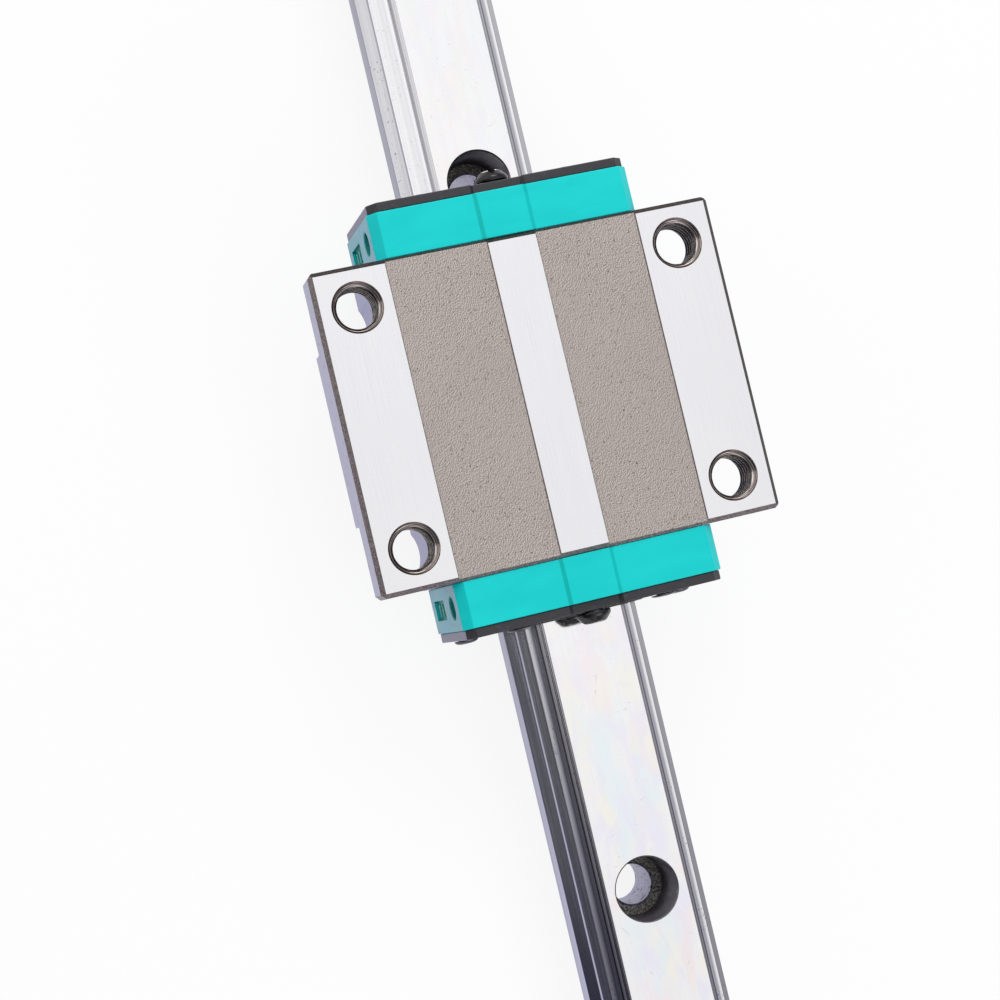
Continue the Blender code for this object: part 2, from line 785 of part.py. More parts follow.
def guide_profile():
    """A spool whose hollow rim is the inner side of the turning balls' path."""
    half_height = RACE_RADIUS - SEAT_GAP
    opening = math.asin(half_height / RACE_RADIUS)
    rim = arc((TURN_RADIUS, 0), RACE_RADIUS, math.pi - opening, math.pi + opening, RACE_SEGMENTS)
    return [(0, half_height), *rim, (0, -half_height)]


def turnarounds(shop, name, points, carriage, end, side):
    """The upper and the lower turned shape of one side's turnarounds, at one end of the block."""
    for level, (row_z, return_angle) in ROWS.items():
        middle = turn_middle(side, row_z, return_angle)
        shape = shop.cutter(
            f"{name}_{level}",
            profile(points),
            carriage,
            location=(middle.x, end * TURN_START, middle.z),
            rotation=(0, -side * return_angle, 0),
        )
        yield turn_profile(shape, TURN_SEGMENTS)


def bridge_box(end, side, clearance):
    """The bar that joins a side's two guide spools, or its recess when given a clearance."""
    upper, lower = (turn_middle(side, row_z, angle) for row_z, angle in ROWS.values())
    middle = (upper.x + lower.x) / 2
    half = BRIDGE_WIDTH / 2 + clearance
    low = (middle - half, end * TURN_START, lower.z)
    high = (middle + half, end * (CAP_INNER_END + BRIDGE_DEPTH + clearance), upper.z)
    return box(low, high)


def make_end_cap(shop, carriage, end_name, end):
    span = sorted((end * CAP_INNER_END, end * CAP_OUTER_END))
    name = f"end_cap_{end_name}"
    cap = shop.part(name, prism(cap_outline(), *span), "cap", carriage)
    for side_name, side in LEFT_AND_RIGHT.items():
        prefix = f"{name}_turn_{side_name}"
        cut(cap, turnarounds(shop, prefix, turnaround_profile(), carriage, end, side))
        recess = shop.cutter(f"{prefix}_bridge", bridge_box(end, side, SEAT_GAP), carriage)
        cut(cap, [recess])
    inner = CAP_INNER_END - CUT_MARGIN
    outer = CAP_OUTER_END + CUT_MARGIN
    for place_name, place in screw_places():
        hole = lengthwise_hole(
            shop,
            f"{name}_screw_hole_{place_name}",
            carriage,
            SCREW_CLEARANCE_DIAMETER,
            place,
            end * inner,
            end * outer,
        )
        cut(cap, [hole])
    plug_floor = HEAD_SEAT_END - PLUG_SHANK_LENGTH - SEAT_GAP
    plug_hole = lengthwise_hole(
        shop,
        f"{name}_plug_hole",
        carriage,
        PLUG_HOLE_DIAMETER,
        (0, PLUG_Z),
        end * plug_floor,
        end * outer,
        BORE_SEGMENTS,
    )
    cut(cap, [plug_hole])
    cut(cap, side_recess_cutters(shop, carriage, name, end))
    return cap


def side_recess_cutters(shop, carriage, name, end):
    """The round port and the moulded window in each side of an end cap."""
    middle = end * (CAP_INNER_END + CAP_OUTER_END) / 2
    face = CAP_WIDTH / 2
    for side_name, side in LEFT_AND_RIGHT.items():
        yield shop.cutter(
            f"{name}_port_{side_name}",
            cylinder(PORT_DIAMETER, PORT_DEPTH + CUT_MARGIN, BORE_SEGMENTS),
            carriage,
            location=(side * (face - (PORT_DEPTH - CUT_MARGIN) / 2), middle, PORT_Z),
            rotation=(0, math.pi / 2, 0),
        )
        low = (side * (face - WINDOW_DEPTH), middle - WINDOW_WIDTH / 2, WINDOW_FLOOR)
        high = (side * (face + CUT_MARGIN), middle + WINDOW_WIDTH / 2, WINDOW_FLOOR + WINDOW_HEIGHT)
        yield shop.cutter(f"{name}_window_{side_name}", box(low, high), carriage)


def make_return_guide(shop, carriage, end_name, end, side_name, side):
    name = f"return_guide_{end_name}_{side_name}"
    guide = shop.part(name, bridge_box(end, side, 0), "guide", carriage)
    for spool in turnarounds(shop, name, guide_profile(), carriage, end, side):
        combine(guide, spool, "UNION")
    reach = BLOCK_WIDTH / 2
    low = (-reach, end * CAP_INNER_END, 0)
    high = (reach, 0, ASSEMBLY_HEIGHT)
    cut(guide, [shop.cutter(f"{name}_flat", box(low, high), carriage)])
    return guide


def make_end_seal(shop, carriage, end_name, end):
    name = f"end_seal_{end_name}"
    lip_end = SEAL_OUTER_END + SEAL_LIP_HEIGHT
    span = sorted((end * SEAL_INNER_END, end * lip_end))
    seal = shop.part(name, prism(seal_outline(), *span), "seal", carriage)
    cut_span = sorted((end * SEAL_OUTER_END, end * (lip_end + CUT_MARGIN)))
    cut(seal, [shop.cutter(f"{name}_around_lip", prism(around_lip_outline(), *cut_span), carriage)])
    inner = SEAL_INNER_END - CUT_MARGIN
    outer = SEAL_OUTER_END + CUT_MARGIN
    for place_name, place in screw_places():
        hole_name = f"{name}_screw_hole_{place_name}"
        diameter = SCREW_CLEARANCE_DIAMETER
        hole = lengthwise_hole(shop, hole_name, carriage, diameter, place, end * inner, end * outer)
        cut(seal, [hole])
    plug_hole = lengthwise_hole(
        shop,
        f"{name}_plug_hole",
        carriage,
        PLUG_HOLE_DIAMETER,
        (0, PLUG_Z),
        end * inner,
        end * outer,
        BORE_SEGMENTS,
    )
    cut(seal, [plug_hole])
    return seal


def make_turned_part(shop, name, points, material, carriage, end, place, cutters=()):
    """A turned piece whose head faces out of the carriage and seats on the end seal."""
    piece = shop.part(
        name,
        profile(points),
        material,
        carriage,
        location=(place[0], end * HEAD_SEAT_END, place[1]),
        rotation=(-end * math.pi / 2, 0, 0),
    )
    turn_profile(piece, SCREW_SEGMENTS)
    cut(piece, cutters)
    settle(piece)
    return piece


def cap_screw_profile():
    head = SCREW_HEAD_DIAMETER / 2
    shank = SCREW_DIAMETER / 2
    reach = HEAD_SEAT_END - BLOCK_END + SCREW_GRIP
    return [
        (0, SCREW_HEAD_HEIGHT),
        (head - SCREW_HEAD_ROUNDING, SCREW_HEAD_HEIGHT),
        (head, SCREW_HEAD_HEIGHT / 2),
        (head, 0),
        (shank, 0),
        (shank, -reach),
        (0, -reach),
    ]


def grease_plug_profile():
    collar = PLUG_COLLAR_DIAMETER / 2
    tip = PLUG_TIP_DIAMETER / 2
    shank = PLUG_SHANK_DIAMETER / 2
    return [
        (0, PLUG_COLLAR_HEIGHT + PLUG_CONE_HEIGHT),
        (tip, PLUG_COLLAR_HEIGHT + PLUG_CONE_HEIGHT),
        (collar, PLUG_COLLAR_HEIGHT),
        (collar, 0),
        (shank, 0),
        (shank, -PLUG_SHANK_LENGTH),
        (0, -PLUG_SHANK_LENGTH),
    ]


def make_grease_plug(shop, carriage, end_name, end):
    """A slotted screw plug, its slot level at the front and upright at the rear, as they were driven."""
    name = f"grease_plug_{end_name}"
    along = PLUG_COLLAR_DIAMETER / 2 + CUT_MARGIN
    across = PLUG_SLOT_WIDTH / 2
    half_x, half_z = (along, across) if end_name == "front" else (across, along)
    tip = HEAD_SEAT_END + PLUG_COLLAR_HEIGHT + PLUG_CONE_HEIGHT
    low = (-half_x, end * (tip - PLUG_SLOT_DEPTH), PLUG_Z - half_z)
    high = (half_x, end * (tip + CUT_MARGIN), PLUG_Z + half_z)
    slot = shop.cutter(f"{name}_slot", box(low, high), carriage)
    points = grease_plug_profile()
    make_turned_part(shop, name, points, "plug", carriage, end, (0, PLUG_Z), [slot])


def make_ends(shop, carriage):
    for end_name, end in FRONT_AND_REAR.items():
        make_end_cap(shop, carriage, end_name, end)
        make_end_seal(shop, carriage, end_name, end)
        make_grease_plug(shop, carriage, end_name, end)
        for place_name, place in screw_places():
            screw_name = f"cap_screw_{end_name}_{place_name}"
            make_turned_part(shop, screw_name, cap_screw_profile(), "screw", carriage, end, place)
        for side_name, side in LEFT_AND_RIGHT.items():
            make_return_guide(shop, carriage, end_name, end, side_name, side)


def make_ball_circuits(shop, carriage):
    for side_name, side in LEFT_AND_RIGHT.items():
        for level, (row_z, return_angle) in ROWS.items():
            curve = ball_circuit_curve(side, row_z, return_angle)
            shop.part(f"ball_circuit_{level}_{side_name}", curve, "ball", carriage)


def make_strips(shop, carriage):
    """The long strips that run the block's length: seals under its legs, and ball retainers."""
    for side_name, side in LEFT_AND_RIGHT.items():
        seal = prism(mirrored(bottom_seal_outline(), side), -BLOCK_END, BLOCK_END)
        shop.part(f"bottom_seal_{side_name}", seal, "seal", carriage)
        retainer = prism(mirrored(side_retainer_outline(), side), -BLOCK_END, BLOCK_END)
        shop.part(f"side_retainer_{side_name}", retainer, "guide", carriage)
    top_retainer = prism(top_retainer_outline(), -BLOCK_END, BLOCK_END)
    shop.part("top_retainer", top_retainer, "guide", carriage)


def build():
    clear_scene()
    shop = Workshop("precision_linear_stage")
    make_rail(shop)
    carriage = shop.empty("carriage", (0, CARRIAGE_OFFSET, 0))
    make_block(shop, carriage)
    make_ends(shop, carriage)
    make_ball_circuits(shop, carriage)
    make_strips(shop, carriage)


build()
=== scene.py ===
"""Looks of a profiled rail and its flanged ball carriage, on a pale floor in soft studio light."""

import math

import bmesh
import bpy
from mathutils import Matrix, Vector


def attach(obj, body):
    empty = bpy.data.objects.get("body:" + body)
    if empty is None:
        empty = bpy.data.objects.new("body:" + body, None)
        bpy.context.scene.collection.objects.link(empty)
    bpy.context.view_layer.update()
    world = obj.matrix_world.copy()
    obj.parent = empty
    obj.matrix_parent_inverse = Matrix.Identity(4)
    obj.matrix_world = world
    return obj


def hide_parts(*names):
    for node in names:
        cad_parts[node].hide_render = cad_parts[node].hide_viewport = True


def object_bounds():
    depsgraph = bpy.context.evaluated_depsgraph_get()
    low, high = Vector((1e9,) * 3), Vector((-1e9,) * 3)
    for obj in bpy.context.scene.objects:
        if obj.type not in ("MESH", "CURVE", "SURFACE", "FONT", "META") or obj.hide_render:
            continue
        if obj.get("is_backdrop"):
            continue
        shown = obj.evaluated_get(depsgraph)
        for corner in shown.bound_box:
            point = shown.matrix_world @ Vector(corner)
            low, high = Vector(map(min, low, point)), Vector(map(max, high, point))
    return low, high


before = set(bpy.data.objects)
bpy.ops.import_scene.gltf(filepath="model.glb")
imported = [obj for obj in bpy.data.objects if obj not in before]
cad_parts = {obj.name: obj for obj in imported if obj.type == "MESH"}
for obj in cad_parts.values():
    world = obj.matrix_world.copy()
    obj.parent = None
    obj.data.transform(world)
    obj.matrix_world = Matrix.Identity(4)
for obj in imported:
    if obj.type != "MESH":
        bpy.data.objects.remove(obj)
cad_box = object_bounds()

# All sizes are in millimetres unless a line says otherwise, and MM brings them to metres.
MM = 0.001

# Rail
RAIL_END = 180
RAIL_HALF_WIDTH = 14
RAIL_HEIGHT = 26
RAIL_TOP_EDGE = 0.25
RAIL_FOOT_HEIGHT = 6.6
RAIL_FOOT_CHAMFER = 0.8
RAIL_SHOULDER_TOP = 11.8
RAIL_NOSE_HEIGHT = 1.6
RAIL_END_CHAMFER = 0.5
RAIL_ROUNDING = 0.22
HOLE_PITCH = 80
HOLE_COUNT = 5
COUNTERBORE_RADIUS = 7
COUNTERBORE_FLOOR = 14
COUNTERBORE_EDGE = 0.3
COUNTERBORE_FILLET = 0.2
BOLT_HOLE_RADIUS = 4.5
BOLT_HOLE_EDGE = 0.35
BOLT_HOLE_EXIT = 0.5

# Balls and raceways
BALL_RADIUS = 2.778
RACE_RADIUS = 3.078
LOAD_ROW_X = 12.47
UPPER_ROW_Z = 25.3
LOWER_ROW_Z = 13.9
RACE_SPREAD = math.radians(44)
TURN_RADIUS = 4.5
RETURN_ANGLES = {"upper": math.radians(20), "lower": math.radians(-10)}
ROW_HEIGHTS = {"upper": UPPER_ROW_Z, "lower": LOWER_ROW_Z}
BALLS_IN_CIRCUIT = 30

# Carriage
CARRIAGE_Y = 29.6
TOP = 42
BLOCK_END = 35
BLOCK_HALF_WIDTH = 45
BLOCK_FLOOR = 7
BLOCK_CHAMFER = 1
SECTION_ROUNDING = 0.12
SIDE_VIEW_ROUNDING = 0.15
CORNER_ROUNDING = 0.2
FLANGE_UNDERSIDE = 29
FLANGE_DRAFT = 0.2
BODY_HALF_WIDTH = 30
BODY_FOOT_CHAMFER = 2
BODY_FILLET = 1
LEG_INNER = 16.2
STRIP_TOP = 41.65
STRIP_SLOPE = 0.1
CENTRE_PAD = 5.4
SIDE_PAD = 28.2
POCKET_START = 18.7
POCKET_INNER = 31.4
POCKET_CEILING = 33.5
POCKET_DROP = 1.5
POCKET_EDGE = 0.6
TAP_X = 36
TAP_Y = 26
TAP_FOOT = 27
BOLT_HEAD_RADIUS = 7.2
BOLT_HEAD_EDGE = 0.3
BOLT_HEAD_SEAT = 33.8
BOLT_HEAD_RECESS_FOOT = 4
TURN_START = BLOCK_END + 0.15
HALF_CIRCUIT = 2 * TURN_START + math.pi * TURN_RADIUS
THREAD_PITCH = 1.5
THREAD_MINOR = 4.36
THREAD_MAJOR = 4.98
THREAD_MOUTH = 5.4
THREAD_RIM = 0.2
THREAD_LEAD_IN = 4.75
# Half the height of the painted highlight band at the thread's lead-in
THREAD_HIGHLIGHT_BAND = 0.1
THREAD_CREST = 0.08
THREAD_CREST_SHARE = 0.12
THREAD_FLANK_SHARE = 0.74
THREAD_SKIN = 0.02
THREAD_START = TOP - THREAD_RIM - (THREAD_MOUTH - THREAD_LEAD_IN)
SLEEVE_RADIUS = 5.15
SLEEVE_GAP = 0.05

# End caps and seals
CAP_INNER = 35.05
CAP_OUTER = 45.2
CAP_MIDDLE = (CAP_INNER + CAP_OUTER) / 2
CAP_TOP = 41
CAP_BAND = 5.2
CAP_BAND_RISE = 0.35
CAP_BAND_SLOPE = 0.9
CAP_HALF_WIDTH = 29.3
CAP_CORNER = 2
CAP_SIDE_FOOT = 10.5
CAP_FLOOR = 6.3
CAP_LEG = 9.5
CAP_CLEARANCE = 0.8
BRIDGE_DEPTH = 1.6
BRIDGE_HALF_WIDTH = 1
BRIDGE_CLEARANCE = 0.3
SEAL_INNER = 45.25
SEAL_OUTER = 47.3
SEAL_INSET = 0.4
SEAL_NOTCH = 5.3
SEAL_NOTCH_DEPTH = 0.8
SEAL_CLEARANCE = 0.3
SEAL_LIP_HEIGHT = 0.6
SEAL_LIP_WIDTH = 1.5
SEAL_LIP_ROOT = 0.3
SEAL_LIP_FOOT_SLOPE = 0.02
HEAD_SEAT = 47.6
PORT_Z = 33.1
PORT_RADIUS = 2.5
PORT_LIP = 0.4
PORT_FLARE_TOP = 0.2
PORT_FLARE_FOOT = -0.25
PORT_DEPTH = 4
WINDOW_FLOOR = 14.2
WINDOW_HEIGHT = 10.6
WINDOW_WIDTH = 4.4
WINDOW_DEPTH = 0.9
WINDOW_EDGE = 0.3
RIB_COUNT = 3
FIRST_RIB = 1.6
RIB_PITCH = 3
RIB_WIDTH = 1.5
RIB_REACH = 1.4
RIB_ROOT = 1
RIB_EDGE = 0.15
SCREW_HOLE_RADIUS = 1.8
SCREW_HOLE_DEPTH = 7
PLUG_HOLE_RADIUS = 2.8
PLUG_HOLE_MIDDLE = 47.45
PLUG_HOLE_LENGTH = 12.3
PLUG_Z = 36
PLUG_TIP = 2.6
PLUG_GROOVE_RADIUS = 0.75
PLUG_GROOVE_DEPTH = 1.0
PLUG_GROOVE_LENGTH = 10
PLUG_GROOVE_TURNS = {"front": 0, "rear": math.pi / 2}
SCREW_PLACES = {"upper": (16.5, 35.0), "lower": (25.0, 18.5)}
SCREW_HEADS = {"upper": 0.5, "lower": 0.9}
SCREW_CROSS_REACH = 1.35
SCREW_CROSS_HALF_WIDTH = 0.28
SCREW_CROSS_DEPTH = 0.65

# How far the ends of a moulding are rounded over, and by how much its corners are
CAP_EDGES = (0.25, 0.3)
SEAL_EDGES = (0.22, 0.25)
LIP_EDGES = (0.18, 0.2)

# A corner is rounded if it turns by more than this, and over up to this share of its sides
SMALL_TURN = math.radians(14)
ROUNDED_SHARE = 0.4

# How many sides or steps a round shape has
HOLE_SIDES = 64
BORE_SIDES = 32
SCREW_HOLE_SIDES = 24
TURN_SIDES = 48
TURN_STEPS = 10
PORT_SIDES = 40
SCREW_SIDES = 40
PLUG_SIDES = 72
THREAD_SIDES = 72
THREAD_ROWS = 66
RACE_STEPS = 12
CORNER_STEPS = 3
BAR_EDGE_STEPS = 3

# How far a cutter, or a mesh that chamfers the block, reaches past what it shapes
CUT_MARGIN = 2
CHAMFER_MARGIN = 3

# How near to a flat face the middle of one of its polygons lies
ON_FACE = 0.02
BY_FACE = 0.05
NEAR_FACE = 0.1
BY_SEAL_SIDE = 0.15
BY_HOLE = 1

# How level a top face is, and how far a face turns sideways where its surface changes
LEVEL = 0.98
BEVEL_SLOPE = 0.45
SHADE_SLOPE = 0.7
WALL_SLOPE = 0.92
END_SLOPE = 0.5
EDGE_SLOPE = 0.3
CREASE_SLOPE = 0.2

# The modelled pieces that stay as they are, by the start of their names
REMAINING_SURFACES = {
    "return_guide": "guide_black_plastic",
    "side_retainer": "guide_black_plastic",
    "top_retainer": "guide_black_plastic",
    "bottom_seal": "seal_black_rubber",
}

FRONT_AND_REAR = {"front": -1, "rear": 1}
LEFT_AND_RIGHT = {"left": -1, "right": 1}

# Camera, as fitted to the photograph
CAMERA_PLACE = (-0.11579, -0.00727, 0.47553)
CAMERA_TURN = (5.13399, -12.14562, -13.59659)
CAMERA_LENS = 75.887
CAMERA_SENSOR = 36

# Lamps, in metres
LAMP_SIZE = 0.8
LAMP_TARGET = (0, 0.03, 0)

# How bright the studio is, where 1 is white
CEILING_FRONT = 0.9
CEILING_REAR = 1.01
RIGHT_LEVELS = (0.36, 0.5)
LEFT_FRONT = 0.09
LEFT_REAR = 1.15
DARK_BLUENESS = 1.18
FLOOR_FAR = 0.42
FLOOR_GLOW = 0.88

# Floor, in metres
FLOOR_HALF_SIZE = 3
FLOOR_HEIGHT = -0.0002
FLOOR_NEAR_RADIUS = 0.2
FLOOR_FAR_RADIUS = 0.5

# Where the rail's gradients along Y start, at the front: painted light and shade that change along the rail,
# and pastel patches that are strongest there
GRADIENT_START = -110

# The sockets of the mix node that hold colours
MIX_FACTOR = 0
MIX_FIRST_COLOUR = 6
MIX_SECOND_COLOUR = 7
MIX_COLOUR = 2


# Procedural materials, each kept here under its own name

materials = {}


class Graph:
    """Adds nodes to a node tree."""

    def __init__(self, tree):
        self.nodes = tree.nodes
        self.links = tree.links

    def add(self, kind, inputs, **settings):
        """A node with its settings, and with each input linked to an output or set to a value."""
        node = self.nodes.new(kind)
        for key, setting in settings.items():
            setattr(node, key, setting)
        for key, value in inputs.items():
            if isinstance(value, bpy.types.NodeSocket):
                self.links.new(value, node.inputs[key])
            else:
                node.inputs[key].default_value = value
        return node

    def ramp(self, value, low, high, start=0.0, end=1.0):
        """Goes smoothly from a start to an end while a value goes from low to high."""
        inputs = {"Value": value, "From Min": low, "From Max": high, "To Min": start, "To Max": end}
        return self.add("ShaderNodeMapRange", inputs, interpolation_type="SMOOTHSTEP").outputs["Result"]

    def math(self, operation, first, second):
        return self.add("ShaderNodeMath", {0: first, 1: second}, operation=operation).outputs["Value"]

    def times(self, first, second):
        return self.math("MULTIPLY", first, second)


class Surface(Graph):
    """A material whose colour, roughness and relief come from nodes in the piece's own coordinates."""

    def __init__(self, name, colour, roughness, metallic=0.0, sheen=0.5):
        self.material = bpy.data.materials.new(name)
        self.material.use_nodes = True
        materials[name] = self.material
        super().__init__(self.material.node_tree)
        self.shader = self.nodes["Principled BSDF"]
        plain = {"Roughness": roughness, "Metallic": metallic, "Specular IOR Level": sheen}
        for key, value in {"Base Color": (*colour, 1), **plain}.items():
            self.shader.inputs[key].default_value = value
        self.place = self.nodes.new("ShaderNodeTexCoord").outputs["Object"]

    def stretched(self, scale, offset=(0.0, 0.0, 0.0)):
        """The piece's coordinates in millimetres, scaled evenly or by axis, then moved."""
        scales = scale if isinstance(scale, tuple) else (scale, scale, scale)
        inputs = {"Vector": self.place, "Location": offset, "Scale": [axis / MM for axis in scales]}
        return self.add("ShaderNodeMapping", inputs).outputs["Vector"]

    def noise(self, scale, detail=3.0, roughness=0.55, distortion=0.0, offset=(0.0, 0.0, 0.0)):
        inputs = {"Vector": self.stretched(scale, offset), "Scale": 1.0, "Detail": detail}
        inputs |= {"Roughness": roughness, "Distortion": distortion}
        return self.add("ShaderNodeTexNoise", inputs).outputs["Fac"]

    def spots(self, low, high, scale, **noise):
        """Places where a noise rises past low, in full where it passes high."""
        return self.ramp(self.noise(scale, **noise), low, high)

    def cell_edges(self, scale):
        """How far a place lies from the edge of its cell."""
        inputs = {"Vector": self.stretched(scale), "Scale": 1.0}
        return self.add("ShaderNodeTexVoronoi", inputs, feature="DISTANCE_TO_EDGE").outputs["Distance"]

    def reach(self):
        """How far a place lies from the piece's origin, in metres."""
        return self.add("ShaderNodeVectorMath", {0: self.place}, operation="LENGTH").outputs["Value"]

    def along(self, start, end):
        """0 to 1 between two places along the piece's Y, in millimetres."""
        y = self.add("ShaderNodeSeparateXYZ", {0: self.place}).outputs["Y"]
        return self.ramp(y, start * MM, end * MM)

    def mix(self, factor, first, second):
        """A colour between two others, each a tuple or a node's output."""
        first, second = ((*c, 1) if isinstance(c, tuple) else c for c in (first, second))
        inputs = {MIX_FACTOR: factor, MIX_FIRST_COLOUR: first, MIX_SECOND_COLOUR: second}
        return self.add("ShaderNodeMix", inputs, data_type="RGBA").outputs[MIX_COLOUR]

    def blend(self, value, low, high, first, second):
        """From a first to a second colour while a value goes from low to high."""
        return self.mix(self.ramp(value, low, high), first, second)

    def colour(self, output):
        self.links.new(output, self.shader.inputs["Base Color"])

    def roughness(self, output):
        self.links.new(output, self.shader.inputs["Roughness"])

    def relief(self, height, strength, depth):
        """Bump from a height of 0 to 1 that stands for a depth in millimetres."""
        inputs = {"Height": height, "Strength": strength, "Distance": depth * MM}
        normal = self.add("ShaderNodeBump", inputs).outputs["Normal"]
        self.links.new(normal, self.shader.inputs["Normal"])

    def finish(self, pattern, roughness, strength, depth, low=0.3, high=0.7):
        """Lets one pattern drive both the roughness, between two values, and the relief."""
        self.roughness(self.ramp(pattern, low, high, *roughness))
        self.relief(pattern, strength, depth)


def shade(colour, factor):
    return tuple(channel * factor for channel in colour)


def along_grain(surface, fine, coarse):
    """Fine and coarse grinding lines that run along Y."""
    lines = surface.noise((fine, 0.02, fine), detail=4.0, roughness=0.6)
    bands = surface.noise((coarse, 0.004, coarse), detail=2.0)
    return lines, bands


def rail_top_surface():
    """A mirror-like ground face with faint pastel patches, grinding lines and fine scratches."""
    surface = Surface("rail_ground_top", (0.92, 0.915, 0.925), 0.1, 1.0)
    lines, bands = along_grain(surface, 7.0, 0.5)
    clouds = surface.noise((0.35, 0.2, 0.35), detail=4.0, roughness=0.6, distortion=0.8)
    colour = surface.blend(bands, 0.3, 0.7, (0.9, 0.895, 0.91), (0.93, 0.925, 0.935))
    tints = [
        ((0.17, 0.08, 0.17), (0.0, 0.0, 0.0), (0.95, 0.83, 0.85)),
        ((0.2, 0.09, 0.2), (7.0, 3.0, 0.0), (0.94, 0.91, 0.82)),
        ((0.14, 0.06, 0.14), (19.0, 8.0, 0.0), (0.82, 0.9, 0.95)),
        ((0.24, 0.1, 0.24), (31.0, 14.0, 0.0), (0.86, 0.84, 0.95)),
    ]
    strength = surface.ramp(surface.along(GRADIENT_START, 60), 0.0, 1.0, 0.8, 0.3)
    for scale, offset, tint in tints:
        patch = surface.noise(scale, detail=2.0, roughness=0.5, distortion=0.4, offset=offset)
        share = surface.times(surface.ramp(patch, 0.46, 0.66), strength)
        colour = surface.mix(share, colour, tint)
    colour = surface.mix(surface.ramp(clouds, 0.55, 0.75, 0.0, 0.6), colour, (0.86, 0.855, 0.87))
    scratches = surface.ramp(surface.cell_edges((0.07, 0.1, 0.07)), 0.0, 0.011, 1.0, 0.0)
    faint = surface.times(scratches, surface.ramp(clouds, 0.56, 0.66, 0.0, 0.5))
    flecks = surface.ramp(surface.noise((1.3, 1.6, 1.3), detail=2.0), 0.72, 0.76, 0.0, 0.6)
    faint = surface.math("MAXIMUM", faint, flecks)
    surface.colour(surface.mix(faint, colour, (0.58, 0.57, 0.6)))
    smooth = surface.ramp(lines, 0.3, 0.7, 0.05, 0.1)
    surface.roughness(surface.math("ADD", smooth, surface.times(faint, 0.3)))
    surface.relief(lines, 0.05, 0.003)


def rail_groove_surface(name, front, rear, shade_end):
    """A ground raceway with small dark pits, more of them towards the front, and painted shade that darkens
    it towards the front.
    """
    surface = Surface(name, rear, 0.2, 1.0)
    lines, bands = along_grain(surface, 6.0, 1.1)
    places = surface.spots(0.5, 0.62, (0.25, 0.12, 0.25), detail=2.0)
    pits = surface.spots(0.64, 0.68, (2.6, 1.8, 2.6), detail=2.0, roughness=0.5)
    front_to_rear = surface.along(GRADIENT_START, shade_end)
    places = surface.times(places, surface.ramp(front_to_rear, 0.3, 1.0, 1.0, 0.3))
    pits = surface.times(pits, places)
    # Painted shade: darker at the front, lighter at the rear
    dark = surface.mix(front_to_rear, shade(front, 0.82), shade(rear, 0.92))
    brushed = surface.blend(bands, 0.35, 0.65, dark, surface.mix(front_to_rear, front, rear))
    surface.colour(surface.mix(pits, brushed, (0.03, 0.027, 0.03)))
    surface.roughness(surface.ramp(lines, 0.3, 0.7, 0.1, 0.22))
    surface.relief(surface.math("SUBTRACT", lines, pits), 0.16, 0.008)


def rail_shoulder_surface():
    """The drawn slope under the raceways: dull, streaked, and specked with scale."""
    surface = Surface("rail_drawn_shoulder", (0.61, 0.605, 0.63), 0.2, 1.0)
    lines, bands = along_grain(surface, 2.5, 0.4)
    places = surface.spots(0.48, 0.62, (0.12, 0.06, 0.12), detail=2.0)
    specks = surface.spots(0.6, 0.66, (1.8, 1.3, 1.8), detail=4.0, roughness=0.65)
    specks = surface.times(specks, places)
    # Painted shade at the front and painted light in the middle, along Y
    front_shaded = surface.mix(surface.along(GRADIENT_START, -60), (0.3, 0.295, 0.42), (0.84, 0.835, 0.88))
    base = surface.mix(surface.along(-20, 80), front_shaded, (0.61, 0.605, 0.63))
    streaks = surface.mix(surface.ramp(bands, 0.3, 0.7, 0.12, 0.0), base, (0.0, 0.0, 0.0))
    surface.colour(surface.mix(specks, streaks, (0.3, 0.29, 0.31)))
    surface.roughness(surface.ramp(lines, 0.3, 0.7, 0.12, 0.24))
    surface.relief(surface.math("ADD", lines, specks), 0.2, 0.008)


def rail_side_surface():
    # The lavender tint is a painted reflection; the front is lighter and bluer, painted light along Y
    surface = Surface("rail_ground_side", (0.31, 0.305, 0.44), 0.28, 1.0)
    lines, bands = along_grain(surface, 4.0, 0.6)
    base = surface.mix(surface.along(GRADIENT_START, 60), (0.36, 0.355, 0.56), (0.28, 0.275, 0.38))
    surface.colour(surface.mix(surface.ramp(bands, 0.3, 0.7, 0.24, 0.0), base, (0.0, 0.0, 0.0)))
    surface.finish(lines, (0.2, 0.36), 0.15, 0.006)


def sawn_surface():
    surface = Surface("rail_sawn_end", (0.55, 0.54, 0.54), 0.38, 1.0)
    arcs = surface.noise((0.25, 0.25, 7.0), detail=4.0, roughness=0.65, distortion=0.5)
    surface.colour(surface.blend(arcs, 0.35, 0.65, (0.42, 0.41, 0.41), (0.66, 0.65, 0.65)))
    surface.finish(arcs, (0.3, 0.5), 0.3, 0.02)


def counterbore_surface():
    """A dark bore wall with fine turning rings and lighter patches."""
    surface = Surface("counterbore_wall", (0.16, 0.15, 0.165), 0.4, 0.9)
    rings = surface.noise((0.15, 0.15, 9.0))
    patches = surface.spots(0.5, 0.72, (0.25, 0.25, 0.12), detail=4.0, roughness=0.65)
    dark = surface.blend(rings, 0.35, 0.65, (0.11, 0.1, 0.115), (0.19, 0.18, 0.2))
    surface.colour(surface.mix(patches, dark, (0.28, 0.265, 0.285)))
    surface.finish(rings, (0.34, 0.5), 0.2, 0.01)


def counterbore_floor_surface():
    """The rough, mottled seat under a rail screw's head."""
    surface = Surface("counterbore_floor", (0.3, 0.29, 0.26), 0.6, 0.5)
    grit = surface.noise(2.2, detail=5.0, roughness=0.75)
    chips = surface.spots(0.6, 0.64, 1.5, roughness=0.6)
    mottled = surface.blend(grit, 0.4, 0.66, (0.07, 0.07, 0.063), (0.4, 0.39, 0.36))
    surface.colour(surface.mix(chips, mottled, (0.04, 0.038, 0.035)))
    surface.finish(grit, (0.7, 0.45), 0.7, 0.07, 0.4, 0.6)


